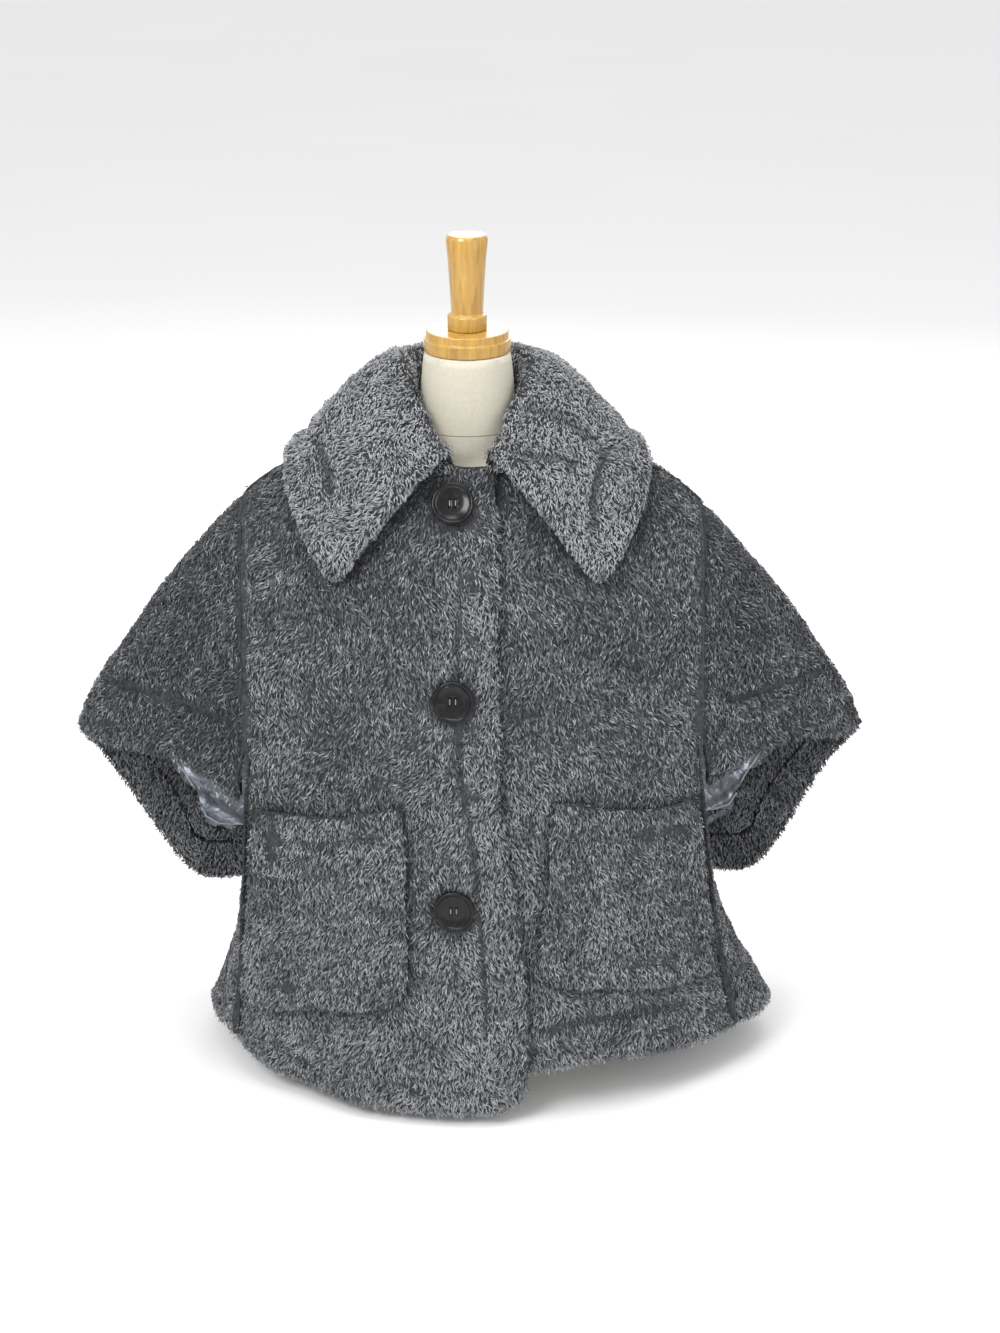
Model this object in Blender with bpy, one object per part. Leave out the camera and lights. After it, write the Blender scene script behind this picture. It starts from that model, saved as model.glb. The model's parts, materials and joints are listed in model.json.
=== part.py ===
"""A short poncho coat with cape sleeves, buttoned at the front, on a limbless dress form.

Units are metres and +Z is up. The origin is the middle of the form's flat base, on the
floor. The front faces -Y and +X is the wearer's left. The coat's cloth is described by
its middle surface: cross sections at each height, cut into the panels that a maker would
sew. Each panel is then thickened to the cloth's wall, with a fine gap at every seam.
"""
import math
from collections import namedtuple

import bmesh
import bpy
from mathutils import Vector
from mathutils.bvhtree import BVHTree

# cloth
WALL = 0.007              # pile cloth, backing and nap together
SEAM_GAP = 0.0003
LINING_WALL = 0.002
FACING_WALL = 0.005
FACING_DEPTH = 0.050      # turned-up hem inside each sleeve's mouth
COLLAR_STAND_WALL = 0.008
COLLAR_END_WALL = 0.0045  # the stand at its front ends
COLLAR_FALL_WALL = 0.013
COLLAR_ROLL = 0.008       # turn between stand and fall
POCKET_WALL = 0.006
POCKET_GAPE = 0.003       # the mouth stands this far off the panel
OVERLAP_STEP = 0.0090     # the lower front lies this far under the upper one
OVERLAP_PAST = 0.044      # beyond the upper front's edge it is back at its own level
OVERLAP_RAMP = 0.034      # and this is how wide that rise is
RIM_ROUND = 0.32          # how far a free edge bulges, as a share of the wall

# body
UNDERARM_Z = 0.372        # front end of the armhole
BACK_ARM_Z = 0.172        # back end of the armhole
SLEEVE_END_Z = 0.386      # lowest point of the ridge, at the sleeve's outer corner
NECK_X = 0.080            # where the shoulder seam meets the collar
FRONT_NECK_Z = 0.698
BACK_NECK_Z = 0.712
BACK_HEM_Z = 0.022
LOWER_EDGE_X = -0.040     # hidden closing edge of the lower front
UPPER_NECK_X = -0.030     # where the upper front's closing edge meets the neck
NECK_CURVE = 2.4          # how sharply the neckline rises toward the shoulder
BODY_BLEND = 0.10         # height over which columns turn from the shoulder to the body

# numbers of faces
FINE_STEPS = 160          # steps of a path that is measured by its length
NECK_COLUMNS = 4          # of half the back's neckline
SHOULDER_COLUMNS = 8
ARM_ROWS = 9              # rows of a front panel down to the underarm
LOW_ROWS = 7
BACK_ARM_ROWS = 11
SIDE_COLUMNS = 8
SLEEVE_ROWS = 6           # from the armhole to the hem facing
PROBE_STEPS = 4           # places tried along each side of a face for clearance
LIFT_PASSES = 8
FACING_ROWS = 3
COLLAR_COLUMNS = 34
POCKET_COLUMNS = 8
POCKET_ROWS = 10

# buttons
BUTTON_RADIUS = 0.021
BUTTON_WALL = 0.0032
BUTTON_RIM = 0.0014
BUTTON_RIM_WIDTH = 0.004
BUTTON_BEVEL = 0.0010
BUTTON_HOLE_RADIUS = 0.0019
BUTTON_HOLE_SPREAD = 0.0042
BUTTON_X = -0.014         # the buttons' line, a little to the wearer's right
BUTTON_HEIGHTS = {"button_top": 0.675, "button_middle": 0.482, "button_bottom": 0.258}

BUTTON_SIDES = 24
HOLE_SIDES = 6
FORM_SIDES = 32
WOOD_SIDES = 36


class Table:
    """A short table with named columns, read smoothly along its first column."""

    def __init__(self, names, *rows):
        self.names = names.split()
        self.keys = [row[0] for row in rows]
        self.rows = {name: [row[i] for row in rows] for i, name in enumerate(self.names)}

    def slopes(self, values):
        """Slope at each row, chosen so that the curve never overshoots."""
        steps = [b - a for a, b in zip(self.keys, self.keys[1:])]
        rises = [(b - a) / s for a, b, s in zip(values, values[1:], steps)]
        slopes = [rises[0]]
        for before, after in zip(rises, rises[1:]):
            slopes.append(0.0 if before * after <= 0 else 2 * before * after / (before + after))
        return slopes + [rises[-1]]

    def at(self, name, key):
        """Value of one column at a key; the ends hold their own values."""
        values = self.rows[name]
        key = min(max(key, self.keys[0]), self.keys[-1])
        i = 0
        while i < len(self.keys) - 2 and key > self.keys[i + 1]:
            i += 1
        step = self.keys[i + 1] - self.keys[i]
        t = (key - self.keys[i]) / step
        slopes = self.slopes(values)
        low = (1 + 2 * t) * (1 - t) ** 2 * values[i] + t * (1 - t) ** 2 * step * slopes[i]
        high = t * t * (3 - 2 * t) * values[i + 1] - t * t * (1 - t) * step * slopes[i + 1]
        return low + high


# half width of the coat along the shoulder and sleeve ridge, against height
RIDGE = Table("z half",
              (0.386, 0.432), (0.414, 0.424), (0.449, 0.402), (0.483, 0.380),
              (0.517, 0.356), (0.552, 0.331), (0.586, 0.302), (0.619, 0.272),
              (0.652, 0.238), (0.668, 0.219), (0.684, 0.190), (0.698, 0.150),
              (0.710, 0.110), (0.718, 0.080), (0.724, 0.056))

# half width that the front and back sections aim at under the sleeves
FRONT_LOW = {-1: Table("z half", (0.0, 0.300), (0.10, 0.305), (0.20, 0.325),
                       (0.28, 0.380), (0.365, 0.430), (0.386, 0.432)),
             1: Table("z half", (0.0, 0.345), (0.10, 0.340), (0.20, 0.350),
                      (0.28, 0.390), (0.365, 0.430), (0.386, 0.432))}
BACK_LOW = Table("z half", (0.0, 0.365), (0.03, 0.370), (0.139, 0.410), (0.208, 0.445),
                 (0.290, 0.432), (0.355, 0.430), (0.386, 0.432))

# depth in front of and behind the ridge, and how full each section's curve is
DEPTH = Table("z front back front_round back_round",
              (0.000, 0.213, 0.190, 1.80, 1.75), (0.100, 0.211, 0.184, 1.75, 1.70),
              (0.200, 0.205, 0.173, 1.65, 1.70), (0.300, 0.195, 0.165, 1.55, 1.70),
              (0.400, 0.181, 0.158, 1.50, 1.70), (0.500, 0.164, 0.150, 1.60, 1.75),
              (0.600, 0.143, 0.135, 1.80, 1.85), (0.654, 0.122, 0.117, 2.00, 2.00),
              (0.688, 0.103, 0.099, 2.10, 2.10), (0.702, 0.092, 0.089, 2.10, 2.10),
              (0.716, 0.080, 0.079, 2.10, 2.10), (0.726, 0.060, 0.062, 2.10, 2.10))

# soft hanging folds: depth, wave length and its shift, height where they begin, outward
# distances where they begin and end, and how fast they grow and fade there
Fold = namedtuple("Fold", "depth wave shift top inner grow outer fade")
FRONT_FOLDS = {-1: Fold(0.0050, 0.125, 0.08, 0.62, 0.070, 0.050, 0.30, 0.05),
               1: Fold(0.0050, 0.125, 0.45, 0.62, 0.070, 0.050, 0.30, 0.05)}
BACK_FOLDS = Fold(0.0090, 0.118, 0.0, 0.60, -0.050, 0.050, 0.27, 0.06)

# closing edge of the upper front, past the middle line
EDGE = Table("z past", (0.03, 0.064), (0.14, 0.062), (0.23, 0.054), (0.30, 0.043),
             (0.36, 0.034), (0.70, 0.030))

# hems of the two fronts against distance outward from the middle line
HEM = {-1: Table("x z", (-0.064, 0.036), (-0.055, 0.023), (-0.034, 0.017), (0.053, 0.015),
                 (0.148, 0.019), (0.212, 0.026), (0.250, 0.036), (0.264, 0.046)),
       1: Table("x z", (-0.040, 0.056), (0.069, 0.060), (0.107, 0.064), (0.187, 0.066),
                (0.253, 0.054), (0.300, 0.056))}

# seam between front and back under the sleeve, distance from the middle line
SIDE_SEAM = {-1: Table("z x", (0.046, 0.264), (0.200, 0.247), (0.365, 0.235)),
             1: Table("z x", (0.056, 0.300), (0.200, 0.270), (0.377, 0.247))}

# how far the back wraps outward between the side seam and the back, from hem to underarm
SIDE_BULGE = {-1: Table("drop bulge", (0.0, 0.0), (0.45, 0.010), (1.0, 0.040)),
              1: Table("drop bulge", (0.0, 0.0), (0.45, 0.018), (1.0, 0.062))}

# outward distance and height of the sleeve's mouth, from the outer corner inward
MOUTH_FRONT = Table("step x z", (0, 0.432, 0.388), (1, 0.412, 0.376), (2, 0.368, 0.386),
                    (3, 0.328, 0.388), (4, 0.286, 0.380), (5, 0.243, 0.354))
MOUTH_BACK = Table("step x z", (0, 0.432, 0.388), (1, 0.418, 0.350), (2, 0.392, 0.290),
                   (3, 0.371, 0.238), (4, 0.350, 0.190), (5, 0.326, 0.153),
                   (6, 0.294, 0.140), (7, 0.257, 0.139))

# free edge of the body under the arm, from the front foot of the armhole to the back one
UNDER = Table("step x y z", (1, 0.233, -0.095, 0.324), (2, 0.234, -0.045, 0.264),
              (3, 0.237, 0.012, 0.213), (4, 0.241, 0.070, 0.183))

# collar: the roll line round the neck and the free edge, from the back to the front end
ROLL = Table("t x y z",
             (0.00, 0.000, 0.078, 0.790), (0.20, 0.041, 0.066, 0.791),
             (0.40, 0.063, 0.030, 0.789), (0.55, 0.060, -0.008, 0.780),
             (0.70, 0.048, -0.040, 0.757), (0.85, 0.030, -0.068, 0.733),
             (1.00, 0.012, -0.087, 0.722))
FALL = Table("t x y z",
             (0.00, 0.000, 0.130, 0.664), (0.20, 0.088, 0.113, 0.670),
             (0.40, 0.166, 0.058, 0.692), (0.55, 0.185, 0.000, 0.700),
             (0.65, 0.184, -0.030, 0.686), (0.75, 0.179, -0.060, 0.671),
             (0.85, 0.169, -0.090, 0.653), (0.93, 0.156, -0.118, 0.628),
             (1.00, 0.134, -0.138, 0.600))

# pockets: corners by outward distance and height
POCKET = {-1: {"inner_top": (0.066, 0.368), "inner_foot": (0.060, 0.138), "foot_z": 0.106,
               "outer_top": 0.350, "sag": 0.008},
          1: {"inner_top": (0.090, 0.372), "inner_foot": (0.074, 0.160), "foot_z": 0.140,
              "outer_top": 0.356, "sag": 0.007}}
POCKET_CORNER = 0.040
POCKET_INSET = 0.010      # distance of the pocket's outer edge from the side seam

# the dress form's sections
FORM = Table("z half front back",
             (0.000, 0.158, 0.106, 0.104), (0.012, 0.165, 0.112, 0.110),
             (0.100, 0.171, 0.119, 0.118), (0.200, 0.160, 0.112, 0.112),
             (0.300, 0.130, 0.098, 0.090), (0.360, 0.118, 0.092, 0.082),
             (0.430, 0.130, 0.101, 0.086), (0.500, 0.148, 0.120, 0.092),
             (0.550, 0.157, 0.128, 0.097), (0.600, 0.165, 0.114, 0.098),
             (0.640, 0.174, 0.094, 0.092), (0.665, 0.178, 0.080, 0.080),
             (0.6797, 0.171, 0.070, 0.070), (0.6877, 0.159, 0.064, 0.064),
             (0.6937, 0.147, 0.058, 0.058), (0.6992, 0.124, 0.054, 0.054),
             (0.7052, 0.094, 0.053, 0.053), (0.7115, 0.062, 0.053, 0.053),
             (0.720, 0.054, 0.0525, 0.0525), (0.745, 0.0505, 0.0520, 0.0520),
             (0.775, 0.0490, 0.0515, 0.0515), (0.808, 0.0455, 0.0495, 0.0495))

# turned wood: radius against height, from the bottom up
DISC = Table("z radius", (0.8083, 0.0440), (0.8100, 0.0455), (0.8200, 0.0455),
             (0.8216, 0.0430), (0.8290, 0.0430), (0.8300, 0.0420))
KNOB = Table("z radius", (0.8303, 0.0195), (0.8330, 0.0210), (0.8455, 0.0210),
             (0.8485, 0.0168), (0.8700, 0.0180), (0.9050, 0.0208), (0.9230, 0.0224),
             (0.9270, 0.0216), (0.9290, 0.0190))


def smooth_step(value):
    """Rise from 0 to 1 with flat ends."""
    value = min(max(value, 0.0), 1.0)
    return value * value * (3 - 2 * value)


def mix(a, b, t):
    """Point or number between a and b."""
    return a * (1 - t) + b * t


def half_width(face, side, z):
    """Half width of the section that a front (-1) or back (1) point lies on."""
    if z >= SLEEVE_END_Z:
        return RIDGE.at("half", z)
    return (FRONT_LOW[side] if face < 0 else BACK_LOW).at("half", z)


def section(face, z):
    """Depth and roundness of the front or back section at a height."""
    name = "front" if face < 0 else "back"
    return DEPTH.at(name, z), DEPTH.at(name + "_round", z)


def ridge_height(x):
    """Height of the ridge at a distance from the middle line."""
    low, high = RIDGE.keys[0], RIDGE.keys[-1]
    for _ in range(40):
        middle = (low + high) / 2
        if RIDGE.at("half", middle) > x:
            low = middle
        else:
            high = middle
    return (low + high) / 2


def folds(face, side, x, z):
    """Depth of the soft hanging folds, growing toward the hem."""
    fold = FRONT_FOLDS[side] if face < 0 else BACK_FOLDS
    size = fold.depth * smooth_step((fold.top - z) / 0.60)
    size *= smooth_step((x - fold.inner) / fold.grow) * smooth_step((fold.outer - x) / fold.fade)
    return size * math.cos(math.tau * (x / fold.wave + fold.shift))


def skin(face, side, x, z):
    """Middle surface of the coat at an outward distance x and a height z."""
    width = half_width(face, side, z)
    depth, power = section(face, z)
    share = min(abs(x) / width, 1.0)
    reach = depth * (1 - share ** power) ** (1 / power)
    y = face * (reach + folds(face, side, abs(x), z) * smooth_step(reach / 0.05))
    return Vector((side * x, y, z))


def skin_angle(face, side, x, z):
    """Angle round the section at which a point lies, 0 on the ridge."""
    power = section(face, z)[1]
    share = min(x / half_width(face, side, z), 1.0)
    return math.acos(share ** (power / 2))


def skin_at_angle(face, side, angle, z):
    """Point of the middle surface at an angle round the section."""
    power = section(face, z)[1]
    x = half_width(face, side, z) * math.cos(angle) ** (2 / power)
    return skin(face, side, x, z)


def skin_normal(face, side, x, z):
    """Outward normal of the middle surface."""
    step = 0.002
    across = skin(face, side, x + step, z) - skin(face, side, x - step, z)
    along = skin(face, side, x, z + step) - skin(face, side, x, z - step)
    normal = across.cross(along).normalized()
    return normal if normal.y * face > 0 else -normal


def even_points(path, count):
    """Points at equal steps along a path that maps 0..1 to points."""
    fine = [path(i / FINE_STEPS) for i in range(FINE_STEPS + 1)]
    lengths = [0.0]
    for a, b in zip(fine, fine[1:]):
        lengths.append(lengths[-1] + (b - a).length)
    points = []
    k = 0
    for i in range(count + 1):
        target = lengths[-1] * i / count
        while k < len(fine) - 2 and lengths[k + 1] < target:
            k += 1
        share = (target - lengths[k]) / max(lengths[k + 1] - lengths[k], 1e-12)
        points.append(mix(fine[k], fine[k + 1], min(max(share, 0.0), 1.0)))
    return points


class Side:
    """Measures that differ between the wearer's right (-1) and left (1)."""

    def __init__(self, sign):
        self.sign = sign
        self.name = "right" if sign < 0 else "left"
        self.arm_x = 0.235 if sign < 0 else 0.247
        self.lift = 0.0 if sign < 0 else 0.012
        self.widen = 0.0 if sign < 0 else 0.012
        self.underarm_z = UNDERARM_Z + self.lift
        self.back_arm_z = BACK_ARM_Z + self.lift
        self.back_low_x = 0.243 if sign < 0 else 0.255

    def shoulder_xs(self):
        """Outward distances of the columns from the neck to the armhole."""
        span = self.arm_x - NECK_X
        return [NECK_X + span * i / SHOULDER_COLUMNS for i in range(SHOULDER_COLUMNS + 1)]

    def top_edge(self, x, face):
        """Start height of a column: on the neckline or on the ridge."""
        if abs(x) >= NECK_X:
            return ridge_height(abs(x))
        low = FRONT_NECK_Z if face < 0 else BACK_NECK_Z
        return mix(low, ridge_height(NECK_X), (abs(x) / NECK_X) ** NECK_CURVE)

    def seam_x(self, z):
        """Distance of the side seam, or of the armhole above it."""
        return SIDE_SEAM[self.sign].at("x", z)


class FrontPanel:
    """One front: a grid of points from the closing edge to the side."""

    def __init__(self, side):
        self.side = side
        self.upper = side.sign < 0
        neck_start = UPPER_NECK_X if self.upper else LOWER_EDGE_X
        steps = [0.0, 0.12, 0.32, 0.56, 0.78] if self.upper else [0.0, 0.2, 0.4, 0.6, 0.8]
        xs = [mix(neck_start, NECK_X, step) for step in steps] + side.shoulder_xs()
        columns = [self.column(x, (x - xs[0]) / (xs[-1] - xs[0])) for x in xs]
        self.grid = [list(row) for row in zip(*columns)]

    def edge_x(self, z):
        """Closing edge as an outward distance, so past the middle is negative."""
        return -EDGE.at("past", z) if self.upper else LOWER_EDGE_X

    def x_at(self, share, z):
        """Outward distance of a column at a height."""
        return mix(self.edge_x(z), self.side.seam_x(z), share)

    def point(self, x, z):
        """Point of this front, dropped under the other front where they overlap."""
        place = skin(-1, self.side.sign, x, z)
        if not self.upper:
            under = smooth_step((EDGE.at("past", z) + OVERLAP_PAST - x) / OVERLAP_RAMP)
            place -= skin_normal(-1, self.side.sign, max(x, 0.0), z) * (OVERLAP_STEP * under)
        return place

    def column(self, top_x, share):
        """Points down one column: to the underarm level, then on to the hem."""
        top = self.side.top_edge(top_x, -1)
        middle = self.side.underarm_z
        low_x = self.x_at(share, 0.05)
        hem = HEM[self.side.sign].at("z", low_x)

        def place(z):
            near_top = smooth_step((z - top + BODY_BLEND) / BODY_BLEND)
            return self.point(mix(self.x_at(share, z), top_x, near_top), z)

        upper = even_points(lambda t: place(mix(top, middle, t)), ARM_ROWS)
        lower = even_points(lambda t: place(mix(middle, hem, t)), LOW_ROWS)
        return upper + lower[1:]


class BackPanel:
    """The back from armhole to armhole, with a side wing under each sleeve."""

    def __init__(self, sides):
        self.sides = sides
        columns = []
        for side in sides:
            xs = side.shoulder_xs()[::-1]
            neck = [NECK_X * (1 - i / NECK_COLUMNS) for i in range(1, NECK_COLUMNS)]
            part = [self.column(side, x) for x in xs + neck]
            columns += part if side.sign < 0 else [self.column(side, 0.0)] + part[::-1]
        self.grid = [list(row) for row in zip(*columns)]

    def column(self, side, top_x):
        """Points down one column: to the armhole's foot, then on to the hem."""
        top = side.top_edge(top_x, 1)
        share = top_x / side.arm_x

        def place(z):
            middle_x = mix(side.arm_x, side.back_low_x, smooth_step((0.60 - z) / 0.40))
            low_x = mix(middle_x, side.back_low_x + 0.010, smooth_step((0.20 - z) / 0.20))
            return skin(1, side.sign, low_x * share, z)

        upper = even_points(lambda t: place(mix(top, side.back_arm_z, t)), BACK_ARM_ROWS)
        lower = even_points(lambda t: place(mix(side.back_arm_z, BACK_HEM_Z, t)), LOW_ROWS)
        return upper + lower[1:]


def side_wing(side, seam, underarm, back_edge):
    """Grid between the front's side seam and the back, under the sleeve.

    seam and back_edge run down, underarm runs from the seam to the back edge.
    """
    rows = []
    for j in range(LOW_ROWS + 1):
        drop = j / LOW_ROWS
        row = []
        for i in range(SIDE_COLUMNS + 1):
            u = i / SIDE_COLUMNS
            chord = mix(seam[j], back_edge[j], u)
            top_shape = underarm[i] - mix(underarm[0], underarm[-1], u)
            bulge = SIDE_BULGE[side.sign].at("bulge", drop) * math.sin(math.pi * u) ** 0.85
            row.append(chord + top_shape * (1 - drop) ** 2 + Vector((side.sign * bulge, 0, 0)))
        rows.append(row)
    return rows


class Sleeve:
    """Cape sleeve: one sheet over the shoulder, from the armhole to a slanted mouth.

    Its columns run from the back of the armhole over the ridge to the front. They stop
    one row short of the armhole's feet, where the hem's corners hang free.
    """

    def __init__(self, side, front_edge, back_edge):
        self.side = side
        self.armhole = back_edge[-2::-1] + front_edge[1:-1]
        self.mouth = self.mouth_edge()
        columns = [self.line(i) for i in range(len(self.armhole))]
        self.grid = [list(row) for row in zip(*columns)]

    def mouth_edge(self):
        """Points of the free edge at the same steps as the armhole."""
        side = self.side
        points = []
        for face, table, count in ((1, MOUTH_BACK, BACK_ARM_ROWS - 1),
                                   (-1, MOUTH_FRONT, ARM_ROWS - 1)):
            part = []
            for i in range(count + 1):
                step = table.keys[-1] * i / count
                low = smooth_step(step / 2)
                x = table.at("x", step) + side.widen * step / table.keys[-1]
                part.append(skin(face, side.sign, x, table.at("z", step) + side.lift * low))
            points = part[:0:-1] + points if face > 0 else points + part
        return points

    def line(self, i):
        """Points from the armhole to the mouth, with a row where the facing starts."""
        fine = [self.place(i, k / 24) for k in range(25)]
        length = sum((b - a).length for a, b in zip(fine, fine[1:]))
        turn = 1 - min(FACING_DEPTH / length, 0.5)
        shares = [turn * k / SLEEVE_ROWS for k in range(SLEEVE_ROWS)]
        shares += [mix(turn, 1.0, k / FACING_ROWS) for k in range(FACING_ROWS + 1)]
        return [self.armhole[i]] + [self.place(i, share) for share in shares[1:]]

    def place(self, i, w):
        """Point on the line from armhole point i to mouth point i."""
        start, end = self.armhole[i], self.mouth[i]
        face = 1 if i < BACK_ARM_ROWS else -1
        angles = [skin_angle(face, self.side.sign, abs(p.x), p.z) for p in (start, end)]
        z = mix(start.z, end.z, w)
        return skin_at_angle(face, self.side.sign, mix(angles[0], angles[1], w), z)


def under_edge(side, foot, heel, before, after):
    """Free edge under the arm from the front foot to the back foot of the armhole."""
    knots = [before, foot]
    for step in UNDER.keys:
        x, y, z = (UNDER.at(axis, step) for axis in "xyz")
        knots.append(Vector((side.sign * (x + side.widen), y, z + side.lift)))
    return spline_run(knots + [heel, after], SIDE_COLUMNS)


def spline_run(knots, count):
    """Smooth run from the second knot to the last but one, at even steps."""
    inner = len(knots) - 3

    def path(t):
        place = t * inner
        k = min(int(place), inner - 1)
        a, b, c, d = knots[k:k + 4]
        s = place - k
        return 0.5 * (2 * b + (c - a) * s + (2 * a - 5 * b + 4 * c - d) * s ** 2
                      + (3 * b - a - 3 * c + d) * s ** 3)

    return even_points(path, count)


class Cloth:
    """Middle surface made of welded grids, cut into named panels."""

    def __init__(self):
        self.points = []
        self.lookup = {}
        self.panels = {}

    def index(self, point):
        """Number of a point, shared by all panels that touch it."""
        key = tuple(round(value * 20000) for value in point)
        if key not in self.lookup:
            self.lookup[key] = len(self.points)
            self.points.append(Vector(point))
        return self.lookup[key]

    def add_grid(self, panel, grid):
        """Add a grid's quads to a panel, wound to face away from the garment's axis."""
        rows = [[self.index(point) for point in row] for row in grid]
        faces = []
        facing = 0.0
        for upper, lower in zip(rows, rows[1:]):
            for a, b, c, d in zip(upper, upper[1:], lower[1:], lower):
                faces.append((a, b, c, d))
                corners = [self.points[i] for i in faces[-1]]
                middle = sum(corners, Vector()) / 4
                facing += face_normal(corners).dot(middle - Vector((0, 0, middle.z - 0.03)))
        if facing < 0:
            faces = [face[::-1] for face in faces]
        self.panels.setdefault(panel, []).extend(faces)

    def edges_along(self, points):
        """Edges along a run of points."""
        run = [self.index(point) for point in points]
        return {(min(a, b), max(a, b)) for a, b in zip(run, run[1:])}

    def normals(self):
        """Unit normals at all points, from the faces of every panel."""
        totals = [Vector() for _ in self.points]
        for faces in self.panels.values():
            for face in faces:
                normal = face_normal([self.points[i] for i in face])
                for i in face:
                    totals[i] += normal
        return [total.normalized() for total in totals]


def face_normal(corners):
    """Area vector of a four-sided face."""
    return (corners[2] - corners[0]).cross(corners[3] - corners[1]) / 2


def boundary_edges(faces):
    """Edges that only one face uses, in that face's direction."""
    owners = {}
    for face in faces:
        for a, b in zip(face, face[1:] + face[:1]):
            owners[(a, b)] = face
    return [edge for edge in owners if (edge[1], edge[0]) not in owners]


def short_split(points, face):
    """Two triangles of a four-sided face, cut along its shorter diagonal."""
    a, b, c, d = face
    if (points[a] - points[c]).length <= (points[b] - points[d]).length:
        return [(a, b, c), (a, c, d)]
    return [(a, b, d), (b, c, d)]


def sheet_solid(points, normals, faces, walls, soft_edges=(), pull=SEAM_GAP / 2):
    """Closed triangles of a wall laid over a middle surface.

    walls gives each point's outer and inner distance. Boundary points are drawn in by
    pull, and the edges in soft_edges get a rounded rim. The flat rim of a seam is cut the
    same way from both sides, so that its two panels stay parallel.
    """
    edges = boundary_edges(faces)
    ways, soft_ways = {}, {}
    for a, b in edges:
        away = (points[b] - points[a]).cross(normals[a] + normals[b]).normalized()
        for i in (a, b):
            flat = (away - normals[i] * away.dot(normals[i])).normalized()
            ways.setdefault(i, []).append(flat)
            if (min(a, b), max(a, b)) in soft_edges:
                soft_ways.setdefault(i, []).append(flat)
    verts, outer, inner, rims = [], {}, {}, {}
    for i in sorted({i for face in faces for i in face}):
        place = points[i].copy()
        if i in ways:
            total = sum(ways[i], Vector())
            place -= total * (pull / max(total.dot(ways[i][0]), 0.4))
        for table, distance in ((outer, walls[i][0]), (inner, -walls[i][1])):
            table[i] = len(verts)
            verts.append(place + normals[i] * distance)
        if i in soft_ways:
            bulge = sum(soft_ways[i], Vector()).normalized() * sum(walls[i]) * RIM_ROUND
            for way in ways[i]:
                if way not in soft_ways[i]:
                    bulge -= way * bulge.dot(way)
            rims[i] = len(verts)
            verts.append(place + normals[i] * (walls[i][0] - walls[i][1]) / 2 + bulge)
    solid = []
    for face in faces:
        for a, b, c in short_split(points, face):
            solid.append((outer[a], outer[b], outer[c]))
            solid.append((inner[c], inner[b], inner[a]))
    hard = {}
    for a, b in edges:
        if (min(a, b), max(a, b)) in soft_edges:
            for top, low in ((outer, rims), (rims, inner)):
                solid += [(top[b], top[a], low[a]), (top[b], low[a], low[b])]
            continue
        hard[a] = (outer[a], inner[a])
        hard[b] = (inner[b], outer[b])
        if a < b:
            solid += [(outer[b], outer[a], inner[b]), (outer[a], inner[a], inner[b])]
        else:
            solid += [(outer[b], outer[a], inner[a]), (outer[b], inner[a], inner[b])]
    for i in rims:
        if i in hard:
            solid.append((*hard[i], rims[i]))
    return verts, solid


def material(name, colour, roughness, metallic=0.0):
    """Plain material with one colour."""
    made = bpy.data.materials.new(name)
    made.use_nodes = True
    shader = made.node_tree.nodes["Principled BSDF"]
    shader.inputs["Base Color"].default_value = (*colour, 1.0)
    shader.inputs["Roughness"].default_value = roughness
    shader.inputs["Metallic"].default_value = metallic
    return made


def add_object(name, verts, faces, look, sharp=50.0):
    """Object from mesh data, outward faces, smooth over gentle angles."""
    mesh = bpy.data.meshes.new(name)
    mesh.from_pydata([tuple(v) for v in verts], [], faces)
    work = bmesh.new()
    work.from_mesh(mesh)
    bmesh.ops.recalc_face_normals(work, faces=work.faces)
    bmesh.ops.triangulate(work, faces=work.faces, quad_method="SHORT_EDGE")
    work.to_mesh(mesh)
    work.free()
    for polygon in mesh.polygons:
        polygon.use_smooth = True
    mesh.set_sharp_from_angle(angle=math.radians(sharp))
    mesh.materials.append(look)
    made = bpy.data.objects.new(name, mesh)
    bpy.context.scene.collection.objects.link(made)
    return made


def lathe(name, table, sides, look):
    """Turned solid from a table of radii, closed by flat ends."""
    verts, faces = [], []
    for z, radius in zip(table.keys, table.rows["radius"]):
        for k in range(sides):
            angle = math.tau * k / sides
            verts.append((radius * math.cos(angle), radius * math.sin(angle), z))
    for ring in range(len(table.keys) - 1):
        for k in range(sides):
            a, b = ring * sides + k, ring * sides + (k + 1) % sides
            faces.append((a, b, b + sides, a + sides))
    faces.append(tuple(range(sides))[::-1])
    top = (len(table.keys) - 1) * sides
    faces.append(tuple(range(top, top + sides)))
    return add_object(name, verts, faces, look, sharp=35.0)


def build_form(look):
    """The limbless torso with its neck, standing on its flat base."""
    verts, faces = [], []
    for z in FORM.keys:
        half = FORM.at("half", z)
        for k in range(FORM_SIDES):
            angle = math.tau * (k + 0.5) / FORM_SIDES
            sine = math.sin(angle)
            depth = FORM.at("front" if sine < 0 else "back", z)
            power = 2 / 2.25
            x = half * math.copysign(abs(math.cos(angle)) ** power, math.cos(angle))
            y = depth * math.copysign(abs(sine) ** power, sine)
            verts.append((x, y, z))
    for ring in range(len(FORM.keys) - 1):
        for k in range(FORM_SIDES):
            a = ring * FORM_SIDES + k
            b = ring * FORM_SIDES + (k + 1) % FORM_SIDES
            faces.append((a, b, b + FORM_SIDES, a + FORM_SIDES))
    faces.append(tuple(range(FORM_SIDES))[::-1])
    top = (len(FORM.keys) - 1) * FORM_SIDES
    faces.append(tuple(range(top, top + FORM_SIDES)))
    return add_object("form_torso", verts, faces, look)


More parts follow.
